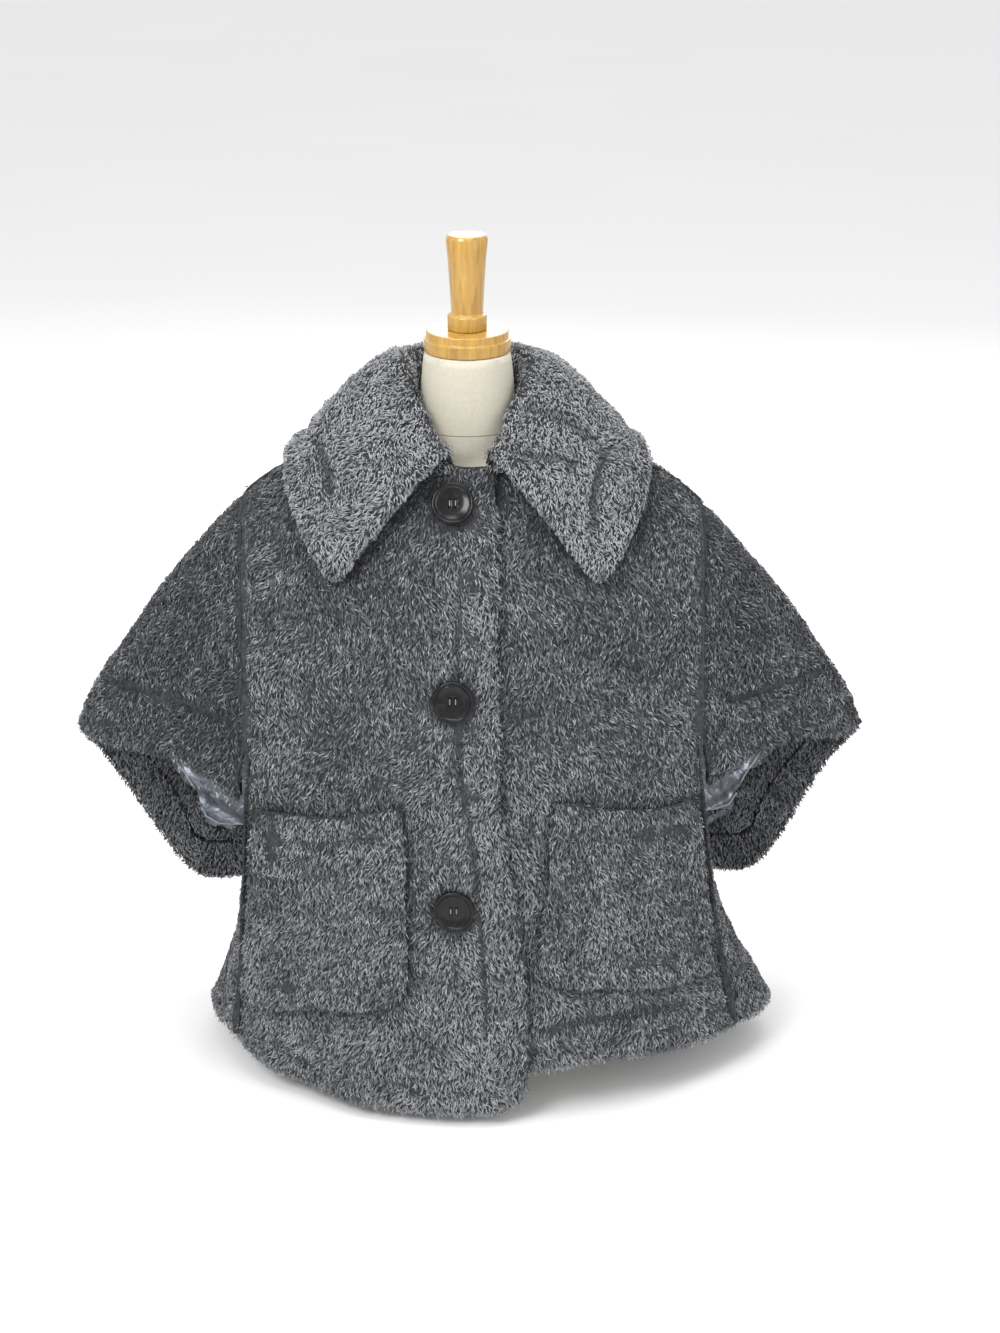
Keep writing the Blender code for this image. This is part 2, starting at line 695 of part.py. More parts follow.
class Button:
    """Four-hole button with a raised rim, flat against the upper front."""

    def __init__(self, height):
        side, x = -1, -BUTTON_X
        self.outward = skin_normal(-1, side, x, height)
        self.across = (Vector((1, 0, 0)) - self.outward * self.outward.x).normalized()
        self.upward = self.outward.cross(-self.across)
        middle = skin(-1, side, x, height)
        rim = [(BUTTON_RADIUS * math.cos(math.tau * k / 16), BUTTON_RADIUS * math.sin(math.tau * k / 16))
               for k in range(16)]
        reach = max((skin(-1, side, x + a, height + b) - middle).dot(self.outward) for a, b in rim)
        self.base = middle + self.outward * (WALL / 2 + SEAM_GAP + max(reach, 0.0))

    def place(self, x, y, level):
        """Point at x across, y up and a height over the back face."""
        return self.base + self.across * x + self.upward * y + self.outward * level

    def circle(self, radius, level, sides, middle=(0.0, 0.0), turn=0.0):
        """Points of a circle at a height over the back face."""
        angles = [math.tau * (k + turn) / sides for k in range(sides)]
        return [self.place(middle[0] + radius * math.cos(a), middle[1] + radius * math.sin(a), level)
                for a in angles]

    def build(self, name, look):
        """Rings of the rim and both faces, with the four holes through them."""
        top = BUTTON_WALL + BUTTON_RIM
        inner = BUTTON_RADIUS - BUTTON_RIM_WIDTH
        profile = [(0.0, BUTTON_RADIUS - BUTTON_BEVEL), (BUTTON_BEVEL, BUTTON_RADIUS),
                   (BUTTON_WALL, BUTTON_RADIUS), (top, BUTTON_RADIUS - BUTTON_BEVEL),
                   (top, inner + BUTTON_BEVEL), (BUTTON_WALL, inner)]
        work = bmesh.new()
        rings = [[work.verts.new(point) for point in self.circle(radius, level, BUTTON_SIDES)]
                 for level, radius in profile]
        for low, high in zip(rings, rings[1:]):
            join_rings(work, low, high)
        low_holes = self.fill_face(work, rings[0], 0.0)
        high_holes = self.fill_face(work, rings[-1], BUTTON_WALL)
        for low, high in zip(low_holes, high_holes):
            join_rings(work, low, high)
        work.verts.index_update()
        verts = [vert.co.copy() for vert in work.verts]
        faces = [tuple(vert.index for vert in face.verts) for face in work.faces]
        work.free()
        return add_object(name, verts, faces, look, sharp=35.0)

    def fill_face(self, work, ring, level):
        """Flat face inside a ring, open at four round holes; the rings of the holes."""
        holes = []
        for a, b in ((1, 1), (-1, 1), (-1, -1), (1, -1)):
            middle = (BUTTON_HOLE_SPREAD * a, BUTTON_HOLE_SPREAD * b)
            points = self.circle(BUTTON_HOLE_RADIUS, level, HOLE_SIDES, middle, 0.5)
            holes.append([work.verts.new(point) for point in points])
        edges = []
        for loop in [ring] + holes:
            for a, b in zip(loop, loop[1:] + loop[:1]):
                edges.append(work.edges.get((a, b)) or work.edges.new((a, b)))
        bmesh.ops.triangle_fill(work, use_beauty=True, use_dissolve=False, edges=edges)
        return holes


def join_rings(work, low, high):
    """Band of faces between two rings of the same number of points."""
    count = len(low)
    for k in range(count):
        after = (k + 1) % count
        work.faces.new((low[k], low[after], high[after], high[k]))


class Collar:
    """Collar of two thicknesses: a stand round the neck and a wide fall."""

    stand_rows = 3
    fall_rows = 8

    def __init__(self, fronts):
        self.fronts = fronts
        self.grid, self.walls = self.build()

    def neckline(self, sign, t):
        """Neckline point and the direction out of the panel there, back to front."""
        side = self.fronts[sign].side
        end_x = 0.010 if sign < 0 else 0.024
        if t < 0.5:
            x, face = NECK_X * smooth_share(t / 0.5), 1
        else:
            x, face = mix(NECK_X, end_x, (t - 0.5) / 0.5), -1
        z = side.top_edge(min(x, NECK_X - 1e-6), face)
        place = skin(face, sign, x, z)
        below = skin(face, sign, x, z - 0.004)
        return place, (place - below).normalized()

    def column(self, sign, t):
        """Points from the neckline over the roll to the free edge, with walls."""
        base, leave = self.neckline(sign, t)
        end_shift = Vector((0.010 if sign > 0 else -0.006, 0, 0)) * smooth_step((t - 0.7) / 0.3)
        roll = Vector((sign * ROLL.at("x", t), ROLL.at("y", t), ROLL.at("z", t))) + end_shift
        edge = Vector((sign * FALL.at("x", t), FALL.at("y", t), FALL.at("z", t)))
        flat = Vector((roll.x, roll.y, 0)).normalized()
        start = base + leave * 0.0015 + Vector((0, 0, WALL / 2 + 0.004))
        turn = min(COLLAR_ROLL, (roll - start).length * 0.6)
        top = roll - Vector((0, 0, turn))
        points = [mix(start, top, k / (self.stand_rows - 1)) for k in range(self.stand_rows)]
        reach = (edge - roll).length
        first = roll + (flat * 0.80 + Vector((0, 0, 0.42))) * reach * 0.30
        second = edge - (edge - first).normalized() * reach * 0.34
        for k in range(self.fall_rows + 1):
            u = mix(COLLAR_ROLL * 0.8 / reach, 1.0, k / self.fall_rows)
            point = (roll * (1 - u) ** 3 + first * 3 * u * (1 - u) ** 2
                     + second * 3 * u * u * (1 - u) + edge * u ** 3)
            points.append(point)
        thin = mix(COLLAR_STAND_WALL, COLLAR_END_WALL, smooth_step((t - 0.75) / 0.25))
        walls = []
        for k in range(len(points)):
            share = smooth_step((k - self.stand_rows + 1) / 4)
            walls.append(mix(thin, COLLAR_FALL_WALL, share) / 2)
        return points, walls

    def build(self):
        """Grid over both halves, from the right front end round to the left."""
        half = COLLAR_COLUMNS // 2
        places = [(-1, k / half) for k in range(half, 0, -1)]
        places += [(1, k / half) for k in range(half + 1)]
        columns = [self.column(sign, t) for sign, t in places]
        return ([list(row) for row in zip(*[points for points, _ in columns])],
                [list(row) for row in zip(*[walls for _, walls in columns])])


def smooth_share(value):
    """Even share round the neck's oval."""
    return math.sin(min(max(value, 0.0), 1.0) * math.pi / 2)


def shortfall(tree, point, needed):
    """Move that a point needs to stand clear of the panels' outer skin."""
    place, normal, _, distance = tree.find_nearest(point)
    height = (point - place).dot(normal)
    aside = (point - place - normal * height).length
    if distance > 0.05 or aside > 0.004:
        return Vector()
    return normal * max(needed - height, 0.0)


def lift_clear(grid, walls, tree, first_row, gap):
    """Move a grid's points off the panels until its inner face clears them everywhere."""
    shares = [k / PROBE_STEPS for k in range(PROBE_STEPS + 1)]
    for _ in range(LIFT_PASSES):
        moves = {}
        for j in range(first_row, len(grid) - 1):
            for i in range(len(grid[0]) - 1):
                cell = [(j, i), (j, i + 1), (j + 1, i + 1), (j + 1, i)]
                for u in shares:
                    for v in shares:
                        weights = ((1 - u) * (1 - v), u * (1 - v), u * v, (1 - u) * v)
                        place = sum((grid[a][b] * w for (a, b), w in zip(cell, weights)), Vector())
                        wall = sum(walls[a][b] * w for (a, b), w in zip(cell, weights))
                        move = shortfall(tree, place, wall + gap)
                        for owner, weight in zip(cell, weights):
                            if weight and move.length > max(moves.get(owner, Vector()).length, 1e-6):
                                moves[owner] = move
        for (j, i), move in moves.items():
            grid[j][i] = grid[j][i] + move
        if not moves:
            break


def main():
    """Build every piece."""
    for old in list(bpy.data.objects):
        bpy.data.objects.remove(old)
    looks = {
        "pile": material("grey_pile", (0.105, 0.110, 0.116), 0.95),
        "pile_dark": material("grey_pile_sleeve", (0.095, 0.100, 0.106), 0.95),
        "satin": material("slate_satin", (0.090, 0.115, 0.150), 0.35),
        "horn": material("dark_horn", (0.020, 0.020, 0.022), 0.30),
        "linen": material("cream_linen", (0.66, 0.60, 0.47), 0.90),
        "wood": material("honey_wood", (0.62, 0.40, 0.20), 0.50),
    }
    sides = {sign: Side(sign) for sign in (-1, 1)}
    fronts = {sign: FrontPanel(side) for sign, side in sides.items()}
    back = BackPanel([sides[-1], sides[1]])

    cloth = Cloth()
    sleeves = []
    plain_runs = []
    for sign, side in sides.items():
        front_edge = [row[-1] for row in fronts[sign].grid]
        back_edge = [row[0 if sign < 0 else -1] for row in back.grid]
        sleeve = Sleeve(side, front_edge[:ARM_ROWS + 1], back_edge[:BACK_ARM_ROWS + 1])
        sleeves.append(sleeve)
        underarm = under_edge(side, front_edge[ARM_ROWS], back_edge[BACK_ARM_ROWS],
                              front_edge[ARM_ROWS - 1], back_edge[BACK_ARM_ROWS - 1])
        wing = side_wing(side, front_edge[ARM_ROWS:], underarm, back_edge[BACK_ARM_ROWS:])
        cloth.add_grid("back", wing)
        cloth.add_grid("sleeve_" + side.name, sleeve.grid)
        cloth.add_grid("front_" + side.name, fronts[sign].grid)
        plain_runs += [[row[0] for row in sleeve.grid], [row[-1] for row in sleeve.grid],
                       front_edge[ARM_ROWS - 1:ARM_ROWS + 1],
                       back_edge[BACK_ARM_ROWS - 1:BACK_ARM_ROWS + 1],
                       underarm[:2], underarm[-2:]]
    cloth.add_grid("back", back.grid)

    normals = cloth.normals()
    free = free_edges(cloth)
    for run in plain_runs:
        free -= cloth.edges_along(run)
    wall = {i: (WALL / 2, WALL / 2) for i in range(len(cloth.points))}
    for name, panel in cloth.panels.items():
        look = looks["pile_dark" if name.startswith("sleeve") else "pile"]
        verts, faces = sheet_solid(cloth.points, normals, panel, wall, free)
        add_object(name, verts, faces, look)
    split = [half for faces in cloth.panels.values() for face in faces
             for half in short_split(cloth.points, face)]
    outside = BVHTree.FromPolygons([p + n * (WALL / 2) for p, n in zip(cloth.points, normals)],
                                   split)
    for sleeve in sleeves:
        build_sleeve_inside(sleeve, cloth, normals, looks)
    build_collar(Collar(fronts), outside, looks["pile"])
    for sign in (-1, 1):
        build_pocket(fronts[sign], outside, looks["pile"])
    for name, height in BUTTON_HEIGHTS.items():
        Button(height).build(name, looks["horn"])
    build_form(looks["linen"])
    lathe("neck_disc", DISC, WOOD_SIDES, looks["wood"])
    lathe("neck_knob", KNOB, WOOD_SIDES, looks["wood"])


def free_edges(cloth):
    """Edges of hems, fronts and mouths, which no second panel touches."""
    count = {}
    for faces in cloth.panels.values():
        for face in faces:
            for a, b in zip(face, face[1:] + face[:1]):
                key = (min(a, b), max(a, b))
                count[key] = count.get(key, 0) + 1
    return {edge for edge, uses in count.items() if uses == 1}


def build_sleeve_inside(sleeve, cloth, normals, looks):
    """Facing round the mouth and satin lining behind it, both inside the sleeve."""
    name = sleeve.side.name
    pieces = (
        ("sleeve_facing_" + name, FACING_WALL, sleeve.grid[SLEEVE_ROWS:], 0.0010, "pile_dark"),
        ("sleeve_lining_" + name, LINING_WALL, sleeve.grid[:SLEEVE_ROWS + 1], 0.0015, "satin"),
    )
    for title, thick, rows, pull, look in pieces:
        depth = WALL / 2 + 2 * SEAM_GAP + thick / 2
        grid = [[point - normals[cloth.index(point)] * depth for point in row] for row in rows]
        own = Cloth()
        own.add_grid("one", grid)
        own_normals = {own.index(moved): normals[cloth.index(point)]
                       for row, line in zip(rows, grid) for point, moved in zip(row, line)}
        sizes = {i: (thick / 2, thick / 2) for i in own_normals}
        verts, faces = sheet_solid(own.points, own_normals, own.panels["one"], sizes, pull=pull)
        add_object(title, verts, faces, looks[look])


def build_collar(collar, tree, look):
    """Collar solid with rounded edges, lying on the panels."""
    button = skin(-1, -1, -BUTTON_X, BUTTON_HEIGHTS["button_top"])
    swell = [[wall + 0.0062 * math.exp(-((point - button).length / 0.034) ** 2)
              for point, wall in zip(*rows)] for rows in zip(collar.grid, collar.walls)]
    lift_clear(collar.grid, swell, tree, collar.stand_rows + 1, 3 * SEAM_GAP)
    cloth = Cloth()
    cloth.add_grid("one", collar.grid)
    sizes = {cloth.index(point): (wall, wall) for rows in zip(collar.grid, collar.walls)
             for point, wall in zip(*rows)}
    normals = cloth.normals()
    if normals[cloth.index(collar.grid[-3][COLLAR_COLUMNS // 2])].y < 0:
        cloth.panels["one"] = [face[::-1] for face in cloth.panels["one"]]
        normals = cloth.normals()
    verts, faces = sheet_solid(cloth.points, normals, cloth.panels["one"], sizes,
                               free_edges(cloth))
    add_object("collar", verts, faces, look)


def pocket_place(side, shape, out, down):
    """Outward distance and height of a point, by its shares outward and down."""
    top = mix(shape["inner_top"][1], shape["outer_top"], out)
    top -= shape["sag"] * math.sin(math.pi * out)
    foot = mix(shape["inner_foot"][1], shape["foot_z"], smooth_step(out * 1.1))
    z = mix(top, foot, down)
    turn = max(0.0, 1 - (z - foot) / POCKET_CORNER)
    inner_x = mix(shape["inner_top"][0], shape["inner_foot"][0], down)
    inner_x += POCKET_CORNER * (1 - math.sqrt(max(0.0, 1 - turn * turn)))
    return mix(inner_x, side.seam_x(z) - POCKET_INSET, out), z


def build_pocket(panel, tree, look):
    """Patch pocket lying on a front, its mouth a little open."""
    side = panel.side
    shape = POCKET[side.sign]
    offset = WALL / 2 + SEAM_GAP + POCKET_WALL / 2
    grid = []
    for j in range(POCKET_ROWS + 1):
        down = 1 - (1 - j / POCKET_ROWS) ** 1.35
        row = []
        for i in range(POCKET_COLUMNS + 1):
            out = i / POCKET_COLUMNS
            x, z = pocket_place(side, shape, out, down)
            middle = math.sin(math.pi * min(max(out, 0.02), 0.98))
            gape = POCKET_GAPE * (1 - down) ** 3 * middle ** 0.7
            normal = skin_normal(-1, side.sign, x, z)
            row.append(panel.point(x, z) + normal * (offset + gape))
        grid.append(row)
    lift_clear(grid, [[POCKET_WALL / 2] * len(row) for row in grid], tree, 0, 3 * SEAM_GAP)
    cloth = Cloth()
    cloth.add_grid("one", grid)
    sizes = {i: (POCKET_WALL / 2, POCKET_WALL / 2) for i in range(len(cloth.points))}
    free = free_edges(cloth)
    verts, faces = sheet_solid(cloth.points, cloth.normals(), cloth.panels["one"], sizes, free)
    add_object("pocket_" + side.name, verts, faces, look)


main()
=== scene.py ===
"""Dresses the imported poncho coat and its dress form: pile cloth, satin, horn buttons, linen and wood."""

from __future__ import annotations

import json
import logging
import math
from collections.abc import Callable, Iterable, Iterator
from contextlib import contextmanager
from dataclasses import dataclass
from enum import Enum
from typing import ClassVar

import bmesh
import bpy
import numpy as np
from mathutils import Matrix, Vector
from mathutils.bvhtree import BVHTree
from mathutils.kdtree import KDTree

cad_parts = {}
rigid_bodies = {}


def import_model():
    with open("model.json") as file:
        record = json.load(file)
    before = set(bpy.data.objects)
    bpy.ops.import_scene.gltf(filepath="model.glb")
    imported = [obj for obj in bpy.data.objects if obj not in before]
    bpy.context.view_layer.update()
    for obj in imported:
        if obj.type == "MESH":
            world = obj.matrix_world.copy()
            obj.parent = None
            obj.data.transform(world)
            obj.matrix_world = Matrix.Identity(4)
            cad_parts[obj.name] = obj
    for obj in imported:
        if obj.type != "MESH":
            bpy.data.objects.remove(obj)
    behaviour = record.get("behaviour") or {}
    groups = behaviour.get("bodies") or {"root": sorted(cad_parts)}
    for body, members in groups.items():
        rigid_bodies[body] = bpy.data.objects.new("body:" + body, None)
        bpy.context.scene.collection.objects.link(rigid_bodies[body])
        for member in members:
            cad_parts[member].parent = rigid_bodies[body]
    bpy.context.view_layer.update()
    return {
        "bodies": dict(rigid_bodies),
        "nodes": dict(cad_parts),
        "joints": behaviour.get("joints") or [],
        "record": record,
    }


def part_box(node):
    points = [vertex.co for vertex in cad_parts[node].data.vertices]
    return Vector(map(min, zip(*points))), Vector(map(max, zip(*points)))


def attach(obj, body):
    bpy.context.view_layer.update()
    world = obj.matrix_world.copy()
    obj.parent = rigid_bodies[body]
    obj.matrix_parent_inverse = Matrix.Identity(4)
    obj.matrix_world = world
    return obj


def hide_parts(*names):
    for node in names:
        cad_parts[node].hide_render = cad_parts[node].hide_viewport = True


LOG = logging.getLogger("poncho")
MM = 0.001
BODY = "root"
MERGE_DISTANCE = 2e-5
SEAM_WIDTH = 0.0055
SEAM_PART_WIDTH = 0.0038
SEAM_ALLOWANCE = 0.012
PRESSED_RADIUS = 0.0235
BUTTONS = ("button_top", "button_middle", "button_bottom")


class Face(Enum):
    """What a face of a cloth shell is."""

    PILE = 0
    PLAIN = 1
    SOFT_RIM = 2
    HARD_RIM = 3


class Out(Enum):
    """Which way the good side of a cloth piece looks."""

    FROM_BODY = "away from the middle of the body"
    FROM_OWN = "away from the piece's own middle"
    TO_OWN = "towards the piece's own middle"
    BOTH = "both sides show"


# shader boards


class Wire:
    """One shader value that takes part in plain arithmetic."""

    def __init__(self, board: Board, socket: bpy.types.NodeSocket) -> None:
        """Keep the socket and the board it is on."""
        self.board = board
        self.socket = socket

    def math(self, operation: str, *others: Wire | float) -> Wire:
        """Add one Math node.

        Args:
            operation: The Math node's operation.
            others: The other values, in order.

        Returns:
            The node's value.
        """
        values = dict(enumerate((self, *others)))
        return self.board.wire("ShaderNodeMath", {"operation": operation}, values)

    def __add__(self, other: Wire | float) -> Wire:
        """Sum."""
        return self.math("ADD", other)

    def __sub__(self, other: Wire | float) -> Wire:
        """Difference."""
        return self.math("SUBTRACT", other)

    def __mul__(self, other: Wire | float) -> Wire:
        """Product."""
        return self.math("MULTIPLY", other)


class Board:
    """The node board of one material."""

    def __init__(self, name: str) -> None:
        """Start an empty material of that name."""
        self.material = bpy.data.materials.new(name)
        self.material.use_nodes = True
        self.tree = self.material.node_tree
        self.tree.nodes.clear()

    def node(self, kind: str, settings: dict | None = None, values: dict | None = None) -> bpy.types.Node:
        """Add one node.

        Args:
            kind: The node's type.
            settings: Its options, set first; "stops" are a ramp's (place, colour) pairs.
            values: Links or values of its sockets, by name or number.

        Returns:
            The new node.
        """
        made = self.tree.nodes.new(kind)
        for key, value in (settings or {}).items():
            if key == "stops":
                self._set_stops(made.color_ramp, value)
            else:
                setattr(made, key, value)
        for key, value in (values or {}).items():
            if isinstance(value, Wire):
                self.tree.links.new(value.socket, made.inputs[key])
            else:
                made.inputs[key].default_value = value
        return made

    def wire(
        self, kind: str, settings: dict | None = None, values: dict | None = None, output: int | str = 0
    ) -> Wire:
        """Add one node and take one of its outputs.

        Args:
            kind: The node's type.
            settings: Its options.
            values: Links or values of its sockets.
            output: The output's name or number.

        Returns:
            That output.
        """
        return Wire(self, self.node(kind, settings, values).outputs[output])

    @staticmethod
    def _set_stops(ramp: bpy.types.ColorRamp, stops: Iterable[tuple[float, tuple]]) -> None:
        """Give a colour ramp its stops.

        Args:
            ramp: The ramp.
            stops: Pairs of place and colour.
        """
        stops = list(stops)
        while len(ramp.elements) < len(stops):
            ramp.elements.new(0.5)
        for element, (place, colour) in zip(ramp.elements, stops):
            element.position = place
            element.color = (*colour, 1.0)

    def place(self) -> Wire:
        """The point in the object's own coordinates."""
        return self.wire("ShaderNodeTexCoord", output="Object")

    def noise(
        self, size: float, detail: float = 3.0, rough: float = 0.55, stretch: tuple = (1, 1, 1)
    ) -> Wire:
        """Noise from 0 to 1.

        Args:
            size: Size of one blotch in metres.
            detail: Finer layers.
            rough: Strength of the finer layers.
            stretch: Scale along each axis.

        Returns:
            The noise value.
        """
        at = self.wire("ShaderNodeMapping", {}, {"Vector": self.place(), "Scale": stretch})
        values = {"Vector": at, "Scale": 1 / size, "Detail": detail, "Roughness": rough}
        return self.wire("ShaderNodeTexNoise", {}, values)

    def ramp(self, value: Wire, *stops: tuple[float, tuple]) -> Wire:
        """Colour ramp over a value.

        Args:
            value: What the ramp reads.
            stops: Pairs of place and colour.

        Returns:
            The colour.
        """
        return self.wire("ShaderNodeValToRGB", {"stops": stops}, {0: value})

    def level(self, value: Wire, low: float, high: float, to_low: float = 0.0, to_high: float = 1.0) -> Wire:
        """Stretch part of a value's range smoothly to another.

        Args:
            value: What is stretched.
            low: Value that becomes to_low.
            high: Value that becomes to_high.
            to_low: Lowest result.
            to_high: Highest result.

        Returns:
            The stretched value.
        """
        settings = {"interpolation_type": "SMOOTHSTEP"}
        return self.wire("ShaderNodeMapRange", settings, {0: value, 1: low, 2: high, 3: to_low, 4: to_high})

    def blend(self, factor: Wire | float, first: Wire | tuple, second: Wire | tuple) -> Wire:
        """Blend two colours.

        Args:
            factor: Share of the second.
            first: First colour.
            second: Second colour.

        Returns:
            The blended colour.
        """
        first = first if isinstance(first, Wire) else (*first, 1.0)
        second = second if isinstance(second, Wire) else (*second, 1.0)
        settings = {"data_type": "RGBA", "blend_type": "MIX"}
        return self.wire("ShaderNodeMix", settings, {0: factor, 6: first, 7: second}, 2)

    def bump(self, height: Wire, distance: float, strength: float = 1.0) -> Wire:
        """Normal from a height.

        Args:
            height: Height from 0 to 1.
            distance: Depth of a whole step in metres.
            strength: Share of it that is used.

        Returns:
            The normal.
        """
        values = {"Height": height, "Distance": distance, "Strength": strength}
        return self.wire("ShaderNodeBump", {}, values)

    def finish(self, **sockets: Wire | float | tuple) -> bpy.types.Material:
        """Add the surface shader and the output.

        Args:
            sockets: Values of the surface shader, with underscores for spaces.

        Returns:
            The finished material.
        """
        values = {key.replace("_", " "): value for key, value in sockets.items()}
        shader = self.wire("ShaderNodeBsdfPrincipled", {}, values)
        self.node("ShaderNodeOutputMaterial", {}, {"Surface": shader})
        return self.material


@dataclass(frozen=True)
class Finish:
    """A named finish; each kind fills in the sockets of its surface shader."""

    name: str

    def sockets(self, board: Board) -> dict[str, Wire | float]:
        """Values of the surface shader, by socket with underscores for spaces."""
        raise NotImplementedError

    def material(self) -> bpy.types.Material:
        """Build the material on a board of its own."""
        board = Board(self.name)
        return board.finish(**self.sockets(board))


@dataclass(frozen=True)
class PileLocks(Finish):
    """Loose locks of mixed grey pile, with painted shade: darker at the root, where the pile is parted and
    where other parts crowd it.
    """

    dark: tuple[float, float, float]
    middle: tuple[float, float, float]
    light: tuple[float, float, float]

    def sockets(self, board: Board) -> dict[str, Wire | float]:
        """The shader's values; red is a lock's tone, green the way along it, blue the share of light left
        after painted shade (1 for none).
        """
        marks = board.wire("ShaderNodeAttribute", {"attribute_name": "pile"}, output="Color")
        parts = board.node("ShaderNodeSeparateColor", {}, {0: marks})
        tone, along, unshaded = (Wire(board, parts.outputs[i]) for i in range(3))
        cloud = board.noise(0.035, 2.0)
        mixed = tone * 0.86 + cloud * 0.14
        colour = board.ramp(mixed, (0.06, self.dark), (0.50, self.middle), (0.94, self.light))
        # painted shade: each lock darkens towards its root and where its blue mark is low
        depth = (along * 0.55 + 0.45) * unshaded
        colour = board.blend(depth, (0.012, 0.012, 0.013), colour)
        return dict(Base_Color=colour, Roughness=0.86, Specular_IOR_Level=0.22, Sheen_Weight=0.12)


@dataclass(frozen=True)
class PileGround(Finish):
    """The pressed ground under the locks, mottled in the same greys."""

    dark: tuple[float, float, float]
    light: tuple[float, float, float]

    def sockets(self, board: Board) -> dict[str, Wire | float]:
        """The shader's values."""
        strand = board.noise(0.0022, 4.0, 0.7, (1.0, 1.0, 0.35))
        clump = board.noise(0.009, 3.0, 0.6)
        mixed = strand * 0.6 + clump * 0.4
        colour = board.ramp(mixed, (0.36, self.dark), (0.66, self.light))
        normal = board.bump(mixed, 0.0025, 0.9)
        return dict(Base_Color=colour, Roughness=0.92, Specular_IOR_Level=0.15, Normal=normal)


@dataclass(frozen=True)
class Satin(Finish):
    """Smooth lining satin with a fine weave and soft wrinkles."""

    shade: tuple[float, float, float]
    light: tuple[float, float, float]

    def sockets(self, board: Board) -> dict[str, Wire | float]:
        """The shader's values."""
        cloud = board.noise(0.018, 3.0, 0.5)
        rib = board.noise(0.0009, 2.0, 0.6, (1.0, 1.0, 0.2))
        colour = board.ramp(cloud * 0.8 + rib * 0.2, (0.34, self.shade), (0.68, self.light))
        crinkle = board.level(board.noise(0.011, 2.0, 0.5), 0.35, 0.65)
        normal = board.bump(crinkle * 0.9 + rib * 0.1, 0.0014, 0.9)
        gloss = board.level(rib, 0.3, 0.7, 0.27, 0.37)
        return dict(Base_Color=colour, Roughness=gloss, Metallic=0.5, Normal=normal)


@dataclass(frozen=True)
class Horn(Finish):
    """Polished dark horn with grey clouds and fine turning lines."""

    name: str = "dark_horn_polished"

    def sockets(self, board: Board) -> dict[str, Wire | float]:
        """The shader's values."""
        cloud = board.noise(0.012, 4.0, 0.62, (1.0, 1.0, 0.6))
        vein = board.level(board.noise(0.007, 5.0, 0.65), 0.52, 0.66)
        colour = board.ramp(cloud, (0.38, (0.0015, 0.0016, 0.002)), (0.62, (0.0060, 0.0063, 0.0075)))
        colour = board.blend(vein * 0.30, colour, (0.034, 0.035, 0.038))
        scuff = board.noise(0.0016, 2.0)
        gloss = board.level(scuff, 0.35, 0.75, 0.15, 0.25)
        normal = board.bump(scuff, 0.00006, 0.6)
        return dict(Base_Color=colour, Roughness=gloss, Specular_IOR_Level=0.32, Normal=normal)


@dataclass(frozen=True)
class Linen(Finish):
    """Cream linen of the form: plain weave, slubs and one sewn line round the neck."""

    name: str = "cream_linen_weave"
    pitch: float = 0.0021
    neck_radius: float = 0.052
    seam_height: float = 0.729

    def sockets(self, board: Board) -> dict[str, Wire | float]:
        """The shader's values."""
        split = board.node("ShaderNodeSeparateXYZ", {}, {0: board.place()})
        x, y, z = (Wire(board, split.outputs[i]) for i in range(3))
        turn = y.math("ARCTAN2", x) * (self.neck_radius * math.tau / self.pitch)
        across = turn.math("SINE")
        down = (z * (math.tau / self.pitch)).math("SINE")
        weave = (across * down) * 0.5 + 0.5
        upright = board.noise(0.004, 3.0, 0.6, (1.0, 1.0, 0.12)) * 0.5
        slub = upright + board.noise(0.004, 3.0, 0.6, (0.1, 0.1, 1.0)) * 0.5
        mixed = weave * 0.40 + slub * 0.20 + board.noise(0.0013, 2.0) * 0.40
        colour = board.ramp(
            mixed, (0.25, (0.36, 0.335, 0.265)), (0.50, (0.52, 0.49, 0.40)), (0.75, (0.64, 0.61, 0.52)))
        away = (z - self.seam_height).math("ABSOLUTE")
        seam = board.level(away, 0.0003, 0.0011, 1.0, 0.0)
        colour = board.blend(seam * 0.6, colour, (0.26, 0.21, 0.15))
        normal = board.bump(mixed - seam * 0.8, 0.0007, 0.7)
        return dict(Base_Color=colour, Roughness=0.86, Specular_IOR_Level=0.25, Normal=normal)


@dataclass(frozen=True)
class HoneyWood(Finish):
    """Varnished honey wood with upright grain."""

    name: str = "honey_wood_varnish"

    def sockets(self, board: Board) -> dict[str, Wire | float]:
        """The shader's values."""
        grain = board.noise(0.0035, 5.0, 0.62, (1.0, 1.0, 0.07))
        band = board.noise(0.014, 3.0, 0.5, (1.0, 1.0, 0.16))
        mixed = grain * 0.6 + band * 0.4
        colour = board.ramp(
            mixed, (0.34, (0.30, 0.155, 0.026)), (0.50, (0.43, 0.245, 0.047)), (0.66, (0.51, 0.32, 0.078))
        )
        normal = board.bump(grain, 0.00018, 0.5)
        gloss = board.level(grain, 0.3, 0.7, 0.34, 0.22)
        return dict(
            Base_Color=colour, Roughness=gloss, Coat_Weight=0.35, Coat_Roughness=0.12, Normal=normal
        )


@dataclass(frozen=True)
class Thread(Finish):
    """Waxed sewing thread, laid in twisted strands."""

    dark: tuple[float, float, float]
    light: tuple[float, float, float]

    def sockets(self, board: Board) -> dict[str, Wire | float]:
        """The shader's values."""
        strand = board.noise(0.0007, 2.0, 0.5, (1.0, 1.0, 0.4))
        colour = board.ramp(strand, (0.35, self.dark), (0.65, self.light))
        normal = board.bump(strand, 0.0003, 0.8)
        return dict(Base_Color=colour, Roughness=0.6, Normal=normal)


@dataclass(frozen=True)
class Backdrop(Finish):
    """Plain pale floor."""

    name: str = "pale_floor"

    def sockets(self, board: Board) -> dict[str, Wire | float]:
        """The shader's values."""
        colour = board.ramp(board.noise(0.9, 1.0), (0.0, (0.86, 0.86, 0.86)), (1.0, (0.89, 0.89, 0.89)))
        return dict(Base_Color=colour, Roughness=0.9, Specular_IOR_Level=0.1)


